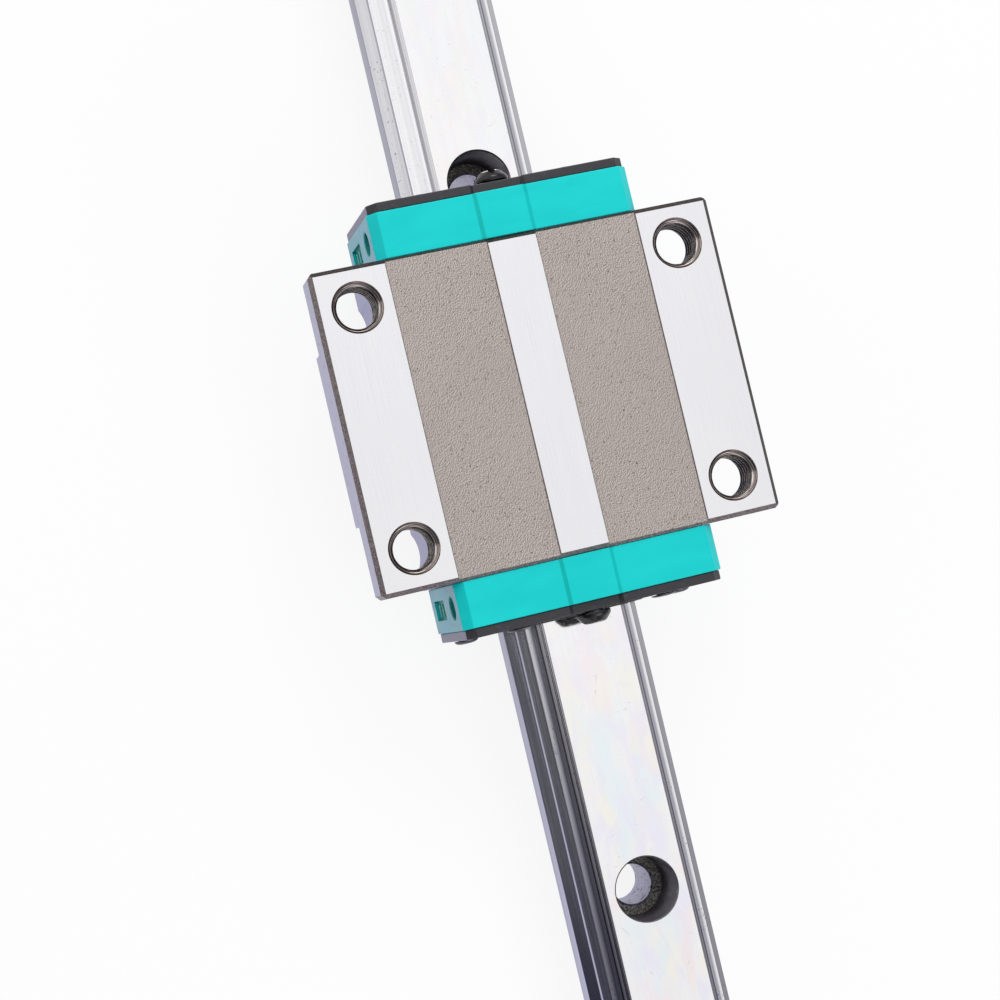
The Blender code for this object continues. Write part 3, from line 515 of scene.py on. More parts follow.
def bolt_hole_surface():
    """A drilled wall with drill rings, a blotchy sheen and scattered dark pits."""
    surface = Surface("bolt_hole_wall", (0.4, 0.39, 0.52), 0.36, 0.95)
    grit = surface.noise(0.8, detail=4.0, roughness=0.6)
    rings = surface.noise((0.1, 0.1, 3.5))
    pits = surface.spots(0.61, 0.64, 0.9, roughness=0.5)
    mottled = surface.blend(grit, 0.35, 0.6, (0.3, 0.29, 0.43), (0.42, 0.41, 0.56))
    ringed = surface.mix(surface.ramp(rings, 0.52, 0.66, 0.0, 0.6), mottled, (0.24, 0.23, 0.33))
    surface.colour(surface.mix(pits, ringed, (0.03, 0.027, 0.045)))
    surface.roughness(surface.ramp(grit, 0.3, 0.6, 0.3, 0.45))
    surface.relief(surface.math("SUBTRACT", rings, pits), 0.3, 0.03)


def pad_surface():
    """A satin ground face with long, very fine lines along the rail."""
    surface = Surface("block_ground_pad", (0.84, 0.835, 0.86), 0.28, 1.0)
    lines = surface.noise((9.0, 0.035, 9.0), detail=4.0, roughness=0.65)
    clouds = surface.noise((0.03, 0.012, 0.03), detail=2.0)
    fine = surface.blend(lines, 0.3, 0.7, (0.79, 0.785, 0.81), (0.85, 0.845, 0.87))
    surface.colour(surface.mix(surface.ramp(clouds, 0.35, 0.65, 0.0, 0.6), fine, (0.86, 0.855, 0.875)))
    surface.finish(lines, (0.24, 0.34), 0.05, 0.003)


def strip_surface():
    """A blasted face: a fine embossed grain with painted light on one side of each grain and painted shade on
    the other, and small dark specks on a warm grey.
    """
    surface = Surface("block_blasted_strip", (0.4, 0.345, 0.318), 0.62, 0.35)
    scale = (4.4, 3.2, 3.8)
    grain = surface.noise(scale, detail=2.0, roughness=0.6)
    beside = surface.noise(scale, detail=2.0, roughness=0.6, offset=(-0.32, 0.24, 0.0))
    slope = surface.math("SUBTRACT", grain, beside)
    specks = surface.spots(0.63, 0.67, (2.8, 2.2, 2.8), offset=(5.0, 2.0, 0.0))
    tint = surface.noise(0.05, detail=2.0)
    base = surface.blend(tint, 0.3, 0.7, (0.37, 0.32, 0.296), (0.404, 0.352, 0.324))
    # Painted light and painted shade from the grain's slope
    lit = surface.mix(surface.ramp(slope, 0.0, 0.1, 0.0, 0.85), base, (0.64, 0.58, 0.54))
    lit_and_shaded = surface.mix(surface.ramp(slope, 0.0, -0.1, 0.0, 0.85), lit, (0.2, 0.165, 0.15))
    surface.colour(surface.mix(specks, lit_and_shaded, (0.12, 0.095, 0.09)))
    surface.finish(grain, (0.7, 0.52), 0.3, 0.03, 0.35, 0.65)


def block_edge_surface(name, dark, light):
    """A browned chamfer with fine grinding marks across it."""
    surface = Surface(name, dark, 0.4, 0.75)
    lines = surface.noise((2.2, 2.2, 5.0), detail=4.0, roughness=0.7)
    surface.colour(surface.blend(lines, 0.4, 0.66, dark, light))
    surface.finish(lines, (0.34, 0.5), 0.15, 0.008)


def block_side_surface(name, dark, light):
    """A milled side with faint lines and small dark specks."""
    surface = Surface(name, light, 0.34, 0.95)
    lines = surface.noise((3.0, 0.1, 3.0), detail=4.0)
    specks = surface.spots(0.6, 0.66, (0.9, 0.6, 0.9), detail=4.0, roughness=0.7)
    base = surface.blend(lines, 0.3, 0.7, dark, light)
    surface.colour(surface.mix(specks, base, (0.14, 0.13, 0.19)))
    surface.finish(lines, (0.28, 0.42), 0.2, 0.01)


def thread_surface(name, dark, light, roughness):
    """A cut wall with fine turning rings between a dark and a light tone."""
    surface = Surface(name, light, roughness, 1.0)
    rings = surface.noise((0.25, 0.25, 5.0))
    surface.colour(surface.blend(rings, 0.35, 0.65, dark, light))
    surface.finish(rings, (roughness, roughness * 1.5), 0.1, 0.008)


def teal_surface(name, low, high):
    """Moulded plastic: an even, faintly grained skin with flow marks and a few scuffs."""
    surface = Surface(name, high, 0.36, sheen=0.17)
    grain = surface.noise(3.2)
    flow = surface.noise((0.04, 0.11, 0.07), distortion=0.8)
    marks = surface.spots(0.68, 0.76, (0.6, 0.3, 0.6), detail=5.0, roughness=0.7)
    base = surface.blend(flow, 0.3, 0.7, low, high)
    surface.colour(surface.mix(marks, base, shade(low, 0.87)))
    surface.finish(grain, (0.28, 0.38), 0.1, 0.015)


def teal_side_surface():
    """The same plastic on the caps' sides, a little rougher, painted paler and bluer as a painted reflection,
    streaked and scuffed.
    """
    surface = Surface("cap_teal_side_painted_reflection", (0.07, 0.38, 0.46), 0.38, sheen=0.55)
    streaks = surface.noise((0.5, 0.5, 0.16), detail=5.0, roughness=0.7, distortion=0.4)
    scuffs = surface.spots(0.58, 0.68, (1.1, 1.1, 0.7), detail=5.0, roughness=0.75)
    base = surface.blend(streaks, 0.36, 0.64, (0.04, 0.34, 0.43), (0.13, 0.42, 0.57))
    surface.colour(surface.mix(scuffs, base, (0.04, 0.2, 0.24)))
    surface.finish(streaks, (0.3, 0.46), 0.2, 0.02)


def teal_recess_surface():
    """The plastic inside the caps' recesses: darker, with painted shade, and grained by the mould's inserts.
    """
    surface = Surface("cap_teal_plastic_recess", (0.004, 0.3, 0.27), 0.5)
    grain = surface.noise(1.6, detail=4.0, roughness=0.7)
    surface.colour(surface.blend(grain, 0.4, 0.68, (0.003, 0.26, 0.235), (0.03, 0.42, 0.4)))
    surface.finish(grain, (0.6, 0.42), 0.3, 0.04)


def rubber_surface(name, dark, dusty, sheen):
    """Moulded rubber with a soft sheen, a fine grain and traces of dust."""
    surface = Surface(name, dark, 0.45, sheen=sheen)
    grain = surface.noise(4.0)
    dust = surface.spots(0.55, 0.75, 0.9, detail=5.0, roughness=0.75)
    surface.colour(surface.mix(dust, dark, dusty))
    surface.finish(grain, (0.38, 0.54), 0.2, 0.02)


def black_plastic_surface(name, roughness):
    surface = Surface(name, (0.008, 0.008, 0.009), roughness, sheen=0.4)
    waves = surface.noise(0.6)
    surface.colour(surface.blend(waves, 0.4, 0.7, (0.006, 0.006, 0.007), (0.014, 0.014, 0.016)))
    surface.finish(waves, (roughness * 0.8, roughness * 1.25), 0.12, 0.03)


def screw_surface():
    surface = Surface("screw_blackened_steel", (0.1, 0.097, 0.11), 0.32, 0.75)
    wear = surface.noise(2.2, detail=4.0, roughness=0.65)
    surface.colour(surface.blend(wear, 0.5, 0.7, (0.08, 0.077, 0.09), (0.22, 0.215, 0.24)))
    surface.finish(wear, (0.26, 0.42), 0.12, 0.01)


def ball_surface():
    surface = Surface("ball_polished_steel", (0.84, 0.84, 0.86), 0.08, 1.0)
    haze = surface.noise(0.8, detail=4.0)
    surface.colour(surface.blend(haze, 0.35, 0.7, (0.8, 0.8, 0.82), (0.88, 0.88, 0.9)))
    surface.roughness(surface.ramp(haze, 0.3, 0.7, 0.05, 0.12))


def make_surfaces():
    rail_top_surface()
    bright = (0.84, 0.835, 0.86)
    # Copies of one ground steel, lighter or darker by which way their faces turn and along Y: painted light
    # and shade
    rail_groove_surface("rail_ground_groove", (0.19, 0.185, 0.23), bright, 30)
    rail_groove_surface("rail_ground_bevel", (0.46, 0.455, 0.58), bright, -30)
    rail_groove_surface("rail_groove_painted_shade", (0.085, 0.08, 0.105), (0.42, 0.41, 0.44), 60)
    rail_groove_surface("rail_groove_wall", (0.1, 0.095, 0.125), (0.78, 0.775, 0.79), 60)
    rail_groove_surface("rail_shaded_groove", (0.22, 0.215, 0.25), (0.44, 0.435, 0.47), 60)
    rail_groove_surface("rail_groove_painted_light", (0.9, 0.895, 0.92), (0.92, 0.915, 0.93), 60)
    rail_shoulder_surface()
    rail_side_surface()
    sawn_surface()
    counterbore_surface()
    counterbore_floor_surface()
    bolt_hole_surface()
    pad_surface()
    strip_surface()
    block_edge_surface("block_browned_edge", (0.15, 0.12, 0.125), (0.34, 0.29, 0.29))
    # A darker copy for chamfers that face right or to the rear: painted shade
    block_edge_surface("block_edge_painted_shade", (0.03, 0.024, 0.022), (0.09, 0.075, 0.07))
    # Their lavender tint is a painted reflection; the darker body copy, on the left half below the flange, is
    # painted shade
    block_side_surface("block_milled_side", (0.3, 0.29, 0.44), (0.39, 0.38, 0.56))
    block_side_surface("block_milled_body", (0.235, 0.228, 0.4), (0.305, 0.297, 0.51))
    # The thread's dark tone is painted shade inside the hole; its crests and the band at its lead-in are
    # lighter copies, painted highlights
    thread_surface("block_cut_thread", (0.06, 0.053, 0.05), (0.16, 0.145, 0.14), 0.24)
    thread_surface("block_thread_crest", (0.3, 0.275, 0.265), (0.5, 0.47, 0.45), 0.24)
    thread_surface("block_countersink", (0.19, 0.145, 0.135), (0.4, 0.33, 0.3), 0.13)
    thread_surface("block_thread_painted_highlight", (0.66, 0.62, 0.6), (0.8, 0.77, 0.75), 0.24)
    teal_surface("cap_teal_plastic", (0.003, 0.585, 0.57), (0.006, 0.625, 0.61))
    # A darker copy on the sloped creases of the caps' raised band: painted shade
    teal_surface("cap_teal_plastic_crease", (0.002, 0.46, 0.43), (0.003, 0.52, 0.49))
    teal_side_surface()
    teal_recess_surface()
    rubber_surface("seal_black_rubber", (0.02, 0.0185, 0.024), (0.06, 0.056, 0.07), 0.52)
    # A paler, lavender copy with more sheen for the seals' side faces: painted reflection
    rubber_surface("seal_rubber_side", (0.15, 0.135, 0.24), (0.24, 0.225, 0.34), 0.9)
    black_plastic_surface("plug_black_plastic", 0.16)
    black_plastic_surface("guide_black_plastic", 0.42)
    screw_surface()
    ball_surface()


# Flat outlines, each a list of X and Z points


def arc(centre, radius, start, end, segments):
    points = []
    for step in range(segments + 1):
        angle = start + (end - start) * step / segments
        points.append((centre[0] + radius * math.cos(angle), centre[1] + radius * math.sin(angle)))
    return points


def both_sides(half):
    """A closed outline from its right half, which starts and ends on the middle plane."""
    return half + [(-x, z) for x, z in reversed(half) if x > 0]


def grown(outline, distance):
    """A closed outline moved outward by a distance, each corner along its mitre."""
    following = outline[1:] + outline[:1]
    area = sum(x0 * z1 - x1 * z0 for (x0, z0), (x1, z1) in zip(outline, following))
    turn = math.copysign(1, area)
    moved = []
    for before, here, after in zip(outline[-1:] + outline[:-1], outline, following):
        back = (Vector(here) - Vector(before)).normalized()
        ahead = (Vector(after) - Vector(here)).normalized()
        mitre = Vector((back.y + ahead.y, -back.x - ahead.x)) * turn / (1 + back.dot(ahead))
        moved.append((here[0] + mitre.x * distance, here[1] + mitre.y * distance))
    return moved


def rounded(outline, radius):
    """An outline with its sharp corners made round, less where its sides are short."""
    result = []
    following = outline[1:] + outline[:1]
    for before, here, after in zip(outline[-1:] + outline[:-1], outline, following):
        corner = Vector(here)
        back = Vector(before) - corner
        ahead = Vector(after) - corner
        turn = math.pi - back.angle(ahead)
        if turn < SMALL_TURN:
            result.append(here)
            continue
        reach = min(radius * math.tan(turn / 2), *(side.length * ROUNDED_SHARE for side in (back, ahead)))
        first = corner + back.normalized() * reach
        last = corner + ahead.normalized() * reach
        for step in range(CORNER_STEPS + 1):
            share = step / CORNER_STEPS
            point = first * (1 - share) ** 2 + corner * 2 * share * (1 - share) + last * share**2
            result.append(tuple(point))
    return result


def rail_groove(row_z, direction):
    middle = math.pi + direction * math.pi / 4
    return arc((LOAD_ROW_X, row_z), RACE_RADIUS, middle - RACE_SPREAD, middle + RACE_SPREAD, RACE_STEPS)


def rail_half_outline():
    half = RAIL_HALF_WIDTH
    middle = (UPPER_ROW_Z + LOWER_ROW_Z) / 2
    upper = rail_groove(UPPER_ROW_Z, 1)
    lower = rail_groove(LOWER_ROW_Z, -1)
    waist = lower[-1][0]
    return [
        (0, RAIL_HEIGHT),
        (upper[0][0] - RAIL_TOP_EDGE, RAIL_HEIGHT),
        *upper,
        (half, middle + RAIL_NOSE_HEIGHT / 2),
        (half, middle - RAIL_NOSE_HEIGHT / 2),
        *lower,
        (waist, RAIL_FOOT_HEIGHT + half - waist),
        (half, RAIL_FOOT_HEIGHT),
        (half, RAIL_FOOT_CHAMFER),
        (half - RAIL_FOOT_CHAMFER, 0),
        (0, 0),
    ]


def astride_rail(outer_half, clearance):
    """A closed outline that fits over the rail: an outer half down to the leg's foot, and the gap."""
    rail_half = rail_half_outline()
    around_rail = grown(both_sides(rail_half), clearance)[: len(rail_half) - 3]
    leg_foot = (RAIL_HALF_WIDTH + clearance, outer_half[-1][1])
    return both_sides([*outer_half, leg_foot, *reversed(around_rail)])


def block_half_outline():
    first, last = math.radians(1), math.radians(89)
    lower = arc((LOAD_ROW_X, LOWER_ROW_Z), RACE_RADIUS, -last, -first, RACE_STEPS)
    upper = arc((LOAD_ROW_X, UPPER_ROW_Z), RACE_RADIUS, first, last, RACE_STEPS)
    return [
        (0, TOP),
        (CENTRE_PAD, TOP),
        (CENTRE_PAD + STRIP_SLOPE, STRIP_TOP),
        (SIDE_PAD - STRIP_SLOPE, STRIP_TOP),
        (SIDE_PAD, TOP),
        (BLOCK_HALF_WIDTH - BLOCK_CHAMFER, TOP),
        (BLOCK_HALF_WIDTH, TOP - BLOCK_CHAMFER),
        (BLOCK_HALF_WIDTH, FLANGE_UNDERSIDE),
        (BODY_HALF_WIDTH + BODY_FILLET, FLANGE_UNDERSIDE - FLANGE_DRAFT),
        (BODY_HALF_WIDTH, FLANGE_UNDERSIDE - FLANGE_DRAFT - BODY_FILLET),
        (BODY_HALF_WIDTH, BLOCK_FLOOR + BODY_FOOT_CHAMFER),
        (BODY_HALF_WIDTH - BODY_FOOT_CHAMFER, BLOCK_FLOOR),
        (LEG_INNER, BLOCK_FLOOR),
        *lower,
        *upper,
        (0, upper[-1][1]),
    ]


def end_outline(top_middle, inset, clearance):
    half = CAP_HALF_WIDTH - inset
    top = CAP_TOP - inset
    outer_half = [
        *top_middle,
        (half - CAP_CORNER, top),
        (half, top - CAP_CORNER),
        (half, CAP_SIDE_FOOT),
        (RAIL_HALF_WIDTH + CAP_CLEARANCE + CAP_LEG - inset, CAP_FLOOR),
    ]
    return astride_rail(outer_half, clearance)


def cap_outline():
    band_top = CAP_TOP + CAP_BAND_RISE
    top_middle = [(0, band_top), (CAP_BAND, band_top), (CAP_BAND + CAP_BAND_SLOPE, CAP_TOP)]
    return end_outline(top_middle, 0, CAP_CLEARANCE)


def seal_outline():
    top = CAP_TOP - SEAL_INSET
    notch = top - SEAL_NOTCH_DEPTH
    top_middle = [(0, notch), (SEAL_NOTCH, notch), (SEAL_NOTCH + SEAL_NOTCH_DEPTH, top)]
    return end_outline(top_middle, SEAL_INSET, SEAL_CLEARANCE)


# Meshes in millimetres, brought to metres when they are finished


def finished_mesh(name, shape):
    bmesh.ops.recalc_face_normals(shape, faces=shape.faces)
    bmesh.ops.transform(shape, matrix=Matrix.Scale(MM, 4), verts=shape.verts)
    mesh = bpy.data.meshes.new(name)
    shape.to_mesh(mesh)
    shape.free()
    return mesh


def join_rings(shape, first, second):
    """Faces between two rings of points. A ring of one point is a tip."""
    count = max(len(first), len(second))
    for index in range(count):
        corners = []
        for ring, step in ((first, index), (first, index + 1), (second, index + 1), (second, index)):
            vert = ring[step % len(ring)]
            if vert not in corners:
                corners.append(vert)
        shape.faces.new(corners)


def ring_of_verts(shape, x, y, height, radii):
    """A level ring about an upright axis, with a radius for each of its points."""
    turns = [2 * math.pi * step / len(radii) for step in range(len(radii))]
    return [
        shape.verts.new((x + radius * math.cos(turn), y + radius * math.sin(turn), height))
        for radius, turn in zip(radii, turns)
    ]


def loft(name, sections):
    """A closed mesh through outlines in X and Z, each at its own Y, with flat ends."""
    shape = bmesh.new()
    rings = [[shape.verts.new((x, y, z)) for x, z in outline] for y, outline in sections]
    for first, second in zip(rings, rings[1:]):
        join_rings(shape, first, second)
    shape.faces.new(rings[0])
    shape.faces.new(rings[-1])
    return finished_mesh(name, shape)


def carriage_y(y):
    """A place along the carriage, counted from its middle, as a place along the rail."""
    return CARRIAGE_Y + y


def soft_bar(name, outline, end, inner, outer, edge, radius):
    """A bar between two places at one end of the carriage, its ends and its corners rounded."""
    start, stop = sorted((carriage_y(end * inner), carriage_y(end * outer)))
    sections = []
    for step in range(BAR_EDGE_STEPS + 1):
        angle = math.pi / 2 * step / BAR_EDGE_STEPS
        inset = edge * (1 - math.sin(angle))
        along = edge * (1 - math.cos(angle))
        sections.append((along, rounded(grown(outline, -inset), radius)))
    near = [(start + along, section) for along, section in sections]
    far = [(stop - along, section) for along, section in reversed(sections)]
    return loft(name, near + far)


def turned(name, points, segments, place=None):
    """A closed mesh of a profile of radius and height turned about Z, then moved by a matrix."""
    shape = bmesh.new()
    rings = []
    for radius, height in points:
        if radius == 0:
            rings.append([shape.verts.new((0, 0, height))])
        else:
            rings.append(ring_of_verts(shape, 0, 0, height, [radius] * segments))
    for first, second in zip(rings, rings[1:]):
        join_rings(shape, first, second)
    if place is not None:
        bmesh.ops.transform(shape, matrix=place, verts=shape.verts)
    return finished_mesh(name, shape)


def box_mesh(name, low, high, edge=0.0, segments=2):
    """A mesh of a box between two corners, its edges rounded."""
    low, high = Vector(map(min, low, high)), Vector(map(max, low, high))
    shape = bmesh.new()
    bmesh.ops.create_cube(shape, size=1)
    size = Matrix.Diagonal((*(high - low), 1))
    matrix = Matrix.Translation((low + high) / 2) @ size
    bmesh.ops.transform(shape, matrix=matrix, verts=shape.verts)
    if edge:
        bmesh.ops.bevel(shape, geom=shape.edges, offset=edge, segments=segments, profile=0.5, affect="EDGES")
    return finished_mesh(name, shape)


def lying(x, y, z, end=1):
    """A place in the carriage whose own Z points along Y, outward at an end."""
    return Matrix.Translation((x, carriage_y(y), z)) @ Matrix.Rotation(-end * math.pi / 2, 4, "X")


def rod(name, radius, place, length, segments):
    """A cylinder about its place's Z, from its place along both ways by half its length."""
    half = length / 2
    return turned(name, [(0, half), (radius, half), (radius, -half), (0, -half)], segments, place)


def set_down(mesh, place, turn):
    """Moves a finished mesh to a place, after a turn about its Z."""
    spin = Matrix.Translation(place.translation * MM) @ place.to_3x3().to_4x4()
    mesh.transform(spin @ Matrix.Rotation(turn, 4, "Z"))
    return mesh


# Pieces


def loose_object(data):
    obj = bpy.data.objects.new(data.name, data)
    bpy.context.scene.collection.objects.link(obj)
    return obj


def shaped(obj, cuts, common=(), added=()):
    """Keeps what the object has in common with some meshes, cuts others away, and adds the last."""
    steps = [("INTERSECT", mesh) for mesh in common]
    steps += [("DIFFERENCE", mesh) for mesh in cuts]
    steps += [("UNION", mesh) for mesh in added]
    others = []
    for operation, mesh in steps:
        other = loose_object(mesh)
        modifier = obj.modifiers.new(mesh.name, "BOOLEAN")
        modifier.operation = operation
        modifier.solver = "MANIFOLD"
        modifier.object = other
        others.append(other)
    bpy.context.view_layer.update()
    graph = bpy.context.evaluated_depsgraph_get()
    mesh = bpy.data.meshes.new_from_object(obj.evaluated_get(graph))
    obj.modifiers.clear()
    obj.data = mesh
    for other in others:
        bpy.data.objects.remove(other)


def finish_piece(obj, surface, sharp=32, replaces=(), body="carriage"):
    """Smooths a piece, and lets it ride on a body. Its surface is a name, or names each face's."""
    mesh = obj.data
    mesh.materials.clear()
    names = []
    for polygon in mesh.polygons:
        name = surface if isinstance(surface, str) else surface(polygon.center / MM, polygon.normal)
        if name not in names:
            names.append(name)
            mesh.materials.append(materials[name])
        polygon.material_index = names.index(name)
    mesh.shade_smooth()
    mesh.set_sharp_from_angle(angle=math.radians(sharp))
    weighted = obj.modifiers.new("even shading", "WEIGHTED_NORMAL")
    weighted.keep_sharp = True
    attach(obj, body)
    if replaces:
        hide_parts(*replaces)


def rail_zone(centre, normal):
    """The surface of a face of the rail."""
    along = centre.y - round(centre.y / HOLE_PITCH) * HOLE_PITCH
    in_hole = math.hypot(centre.x, along) < COUNTERBORE_RADIUS + BY_HOLE
    if in_hole and ON_FACE < centre.z < RAIL_HEIGHT - ON_FACE:
        if centre.z > COUNTERBORE_FLOOR + BY_FACE:
            return "counterbore_wall"
        return "counterbore_floor" if centre.z > COUNTERBORE_FLOOR - ON_FACE / 2 else "bolt_hole_wall"
    if abs(normal.y) > END_SLOPE:
        return "rail_sawn_end"
    if centre.z > RAIL_HEIGHT - ON_FACE:
        return "rail_ground_top"
    if abs(centre.x) > RAIL_HALF_WIDTH - NEAR_FACE or centre.z < RAIL_FOOT_HEIGHT - NEAR_FACE:
        return "rail_ground_side"
    if centre.z < RAIL_SHOULDER_TOP:
        return "rail_drawn_shoulder"
    # Faces turned right or left, steeper or flatter, get lighter or darker copies of the ground steel:
    # painted light and shade
    if centre.x > 0:
        return "rail_shaded_groove" if normal.x > BEVEL_SLOPE else "rail_groove_painted_light"
    if centre.z > UPPER_ROW_Z - RACE_RADIUS and normal.x < -SHADE_SLOPE:
        return "rail_groove_wall" if normal.x < -WALL_SLOPE else "rail_groove_painted_shade"
    return "rail_ground_bevel" if normal.x < -BEVEL_SLOPE else "rail_ground_groove"


def make_rail():
    outline = both_sides(rail_half_outline())
    inner = rounded(grown(outline, -RAIL_END_CHAMFER), RAIL_ROUNDING)
    full = rounded(outline, RAIL_ROUNDING)
    shoulder = RAIL_END - RAIL_END_CHAMFER
    sections = [(-RAIL_END, inner), (-shoulder, full), (shoulder, full), (RAIL_END, inner)]
    rail = loose_object(loft("rail_ground_profile", sections))
    hole = [
        (0, RAIL_HEIGHT + CUT_MARGIN),
        (COUNTERBORE_RADIUS + COUNTERBORE_EDGE + CUT_MARGIN, RAIL_HEIGHT + CUT_MARGIN),
        (COUNTERBORE_RADIUS, RAIL_HEIGHT - COUNTERBORE_EDGE),
        (COUNTERBORE_RADIUS, COUNTERBORE_FLOOR + COUNTERBORE_FILLET),
        (COUNTERBORE_RADIUS - COUNTERBORE_FILLET, COUNTERBORE_FLOOR),
        (BOLT_HOLE_RADIUS + BOLT_HOLE_EDGE, COUNTERBORE_FLOOR),
        (BOLT_HOLE_RADIUS, COUNTERBORE_FLOOR - BOLT_HOLE_EDGE),
        (BOLT_HOLE_RADIUS, BOLT_HOLE_EXIT),
        (BOLT_HOLE_RADIUS + BOLT_HOLE_EXIT + CUT_MARGIN, -CUT_MARGIN),
        (0, -CUT_MARGIN),
    ]
    cuts = []
    for index in range(HOLE_COUNT):
        place = Matrix.Translation((0, (index - (HOLE_COUNT - 1) / 2) * HOLE_PITCH, 0))
        cuts.append(turned(f"hole_{index}", hole, HOLE_SIDES, place))
    shaped(rail, cuts)
    finish_piece(rail, rail_zone, replaces=["rail"], body="rail")


def block_blank():
    """The block's profile, and the two meshes that chamfer its ends and its upright corners."""
    section = rounded(both_sides(block_half_outline()), SECTION_ROUNDING)
    ends = [carriage_y(side * (BLOCK_END + CUT_MARGIN)) for side in (-1, 1)]
    block = loose_object(loft("block_machined", [(y, section) for y in ends]))
    middle = Matrix.Translation((0, carriage_y(0) * MM, 0))
    side_view = [
        (BLOCK_END, -5),
        (BLOCK_END, TOP - BLOCK_CHAMFER),
        (BLOCK_END - BLOCK_CHAMFER - 1, TOP + 1),
    ]
    side_view = rounded(side_view + [(-y, z) for y, z in reversed(side_view)], SIDE_VIEW_ROUNDING)
    width = BLOCK_HALF_WIDTH + CHAMFER_MARGIN
    lengthwise = loft("side_view", [(-width, side_view), (width, side_view)])
    lengthwise.transform(middle @ Matrix.Rotation(math.pi / 2, 4, "Z"))
    corner = (BLOCK_HALF_WIDTH - BLOCK_CHAMFER, BLOCK_END)
    top_view = [corner, (corner[0] + BLOCK_CHAMFER, BLOCK_END - BLOCK_CHAMFER)]
    top_view += [(x, -y) for x, y in reversed(top_view)]
    top_view += [(-x, -y) for x, y in top_view]
    top_view = rounded(top_view, CORNER_ROUNDING)
    upright = loft("top_view", [(-TOP - CHAMFER_MARGIN, top_view), (CHAMFER_MARGIN, top_view)])
    upright.transform(middle @ Matrix.Rotation(-math.pi / 2, 4, "X"))
    return block, [lengthwise, upright]


def corners():
    """Each corner of the carriage: its name, and its side and end as -1 or 1."""
    for end_name, end in FRONT_AND_REAR.items():
        for side_name, side in LEFT_AND_RIGHT.items():
            yield f"{end_name}_{side_name}", side, end


def circuits():
    """Each ball circuit: its name, its side as -1 or 1, and its level."""
    for side_name, side in LEFT_AND_RIGHT.items():
        for level in ROW_HEIGHTS:
            yield f"{level}_{side_name}", side, level


def screw_places():
    for side_name, side in LEFT_AND_RIGHT.items():
        for level, (x, z) in SCREW_PLACES.items():
            yield f"{level}_{side_name}", side * x, z


def block_cuts():
    """What is cut from the block: pockets, bolt head recesses, taps, return bores and screw holes."""
    sleeve = SLEEVE_RADIUS + SLEEVE_GAP
    tap = [
        (0, TOP + 1),
        (THREAD_MOUTH + THREAD_RIM + 1, TOP + 1),
        (THREAD_MOUTH, TOP - THREAD_RIM),
        (sleeve, TOP - THREAD_RIM - (THREAD_MOUTH - sleeve)),
        (sleeve, TAP_FOOT),
        (0, TAP_FOOT),
    ]
    seat = BOLT_HEAD_SEAT
    recess = [
        (0, seat),
        (BOLT_HEAD_RADIUS - BOLT_HEAD_EDGE, seat),
        (BOLT_HEAD_RADIUS, seat - BOLT_HEAD_EDGE),
        (BOLT_HEAD_RADIUS, BOLT_HEAD_RECESS_FOOT),
        (0, BOLT_HEAD_RECESS_FOOT),
    ]
    for name, side, end in corners():
        low = (side * POCKET_INNER, carriage_y(end * POCKET_START), FLANGE_UNDERSIDE - POCKET_DROP)
        outer = carriage_y(end * (BLOCK_END + 5))
        high = (side * (BLOCK_HALF_WIDTH + 5), outer, POCKET_CEILING)
        yield box_mesh(f"pocket_{name}", low, high, POCKET_EDGE, 3)
    for name, side, end in corners():
        place = Matrix.Translation((side * TAP_X, carriage_y(end * TAP_Y), 0))
        yield turned(f"recess_{name}", recess, HOLE_SIDES, place)
        yield turned(f"tap_{name}", tap, HOLE_SIDES, place)
    for name, side, level in circuits():
        bore = return_place(side, level)
        place = lying(bore.x, 0, bore.z)
        yield rod(f"bore_{name}", RACE_RADIUS, place, 2 * BLOCK_END + 10, BORE_SIDES)
    for end in FRONT_AND_REAR.values():
        yield from screw_holes(end * BLOCK_END, 2 * SCREW_HOLE_DEPTH)


def screw_holes(y, length):
    """Holes for the cap screws about one place along the carriage."""
    for name, x, z in screw_places():
        yield rod(f"screw_hole_{name}", SCREW_HOLE_RADIUS, lying(x, y, z), length, SCREW_HOLE_SIDES)


def from_tap_axis(centre):
    """How far a place lies from the axis of the tapped hole in its corner."""
    return math.hypot(abs(centre.x) - TAP_X, abs(centre.y - carriage_y(0)) - TAP_Y)


def block_zone(centre, normal):
    """The surface of a face of the block."""
    if normal.z > LEVEL and centre.z > TOP - BY_FACE:
        return "block_ground_pad"
    if normal.z > LEVEL and centre.z > STRIP_TOP - BY_FACE:
        return "block_blasted_strip"
    if from_tap_axis(centre) < THREAD_MOUTH and centre.z > THREAD_START:
        return "block_countersink"
    if centre.z > TOP - BLOCK_CHAMFER - SIDE_VIEW_ROUNDING:
        # Chamfers that face right or to the rear get the darker copy: painted shade
        return "block_edge_painted_shade" if max(normal.x, normal.y) > EDGE_SLOPE else "block_browned_edge"
    # The left half below the flange gets the darker body copy: painted shade
    if -POCKET_INNER - NEAR_FACE < centre.x < 0:
        return "block_milled_body"
    upright_corner = min(abs(normal.x), abs(normal.y)) > EDGE_SLOPE
    outer = abs(centre.x) > BLOCK_HALF_WIDTH - BLOCK_CHAMFER - CORNER_ROUNDING
    return "block_browned_edge" if upright_corner and outer else "block_milled_side"


def make_block():
    block, common = block_blank()
    shaped(block, block_cuts(), common)
    finish_piece(block, block_zone, replaces=["carriage_block"])


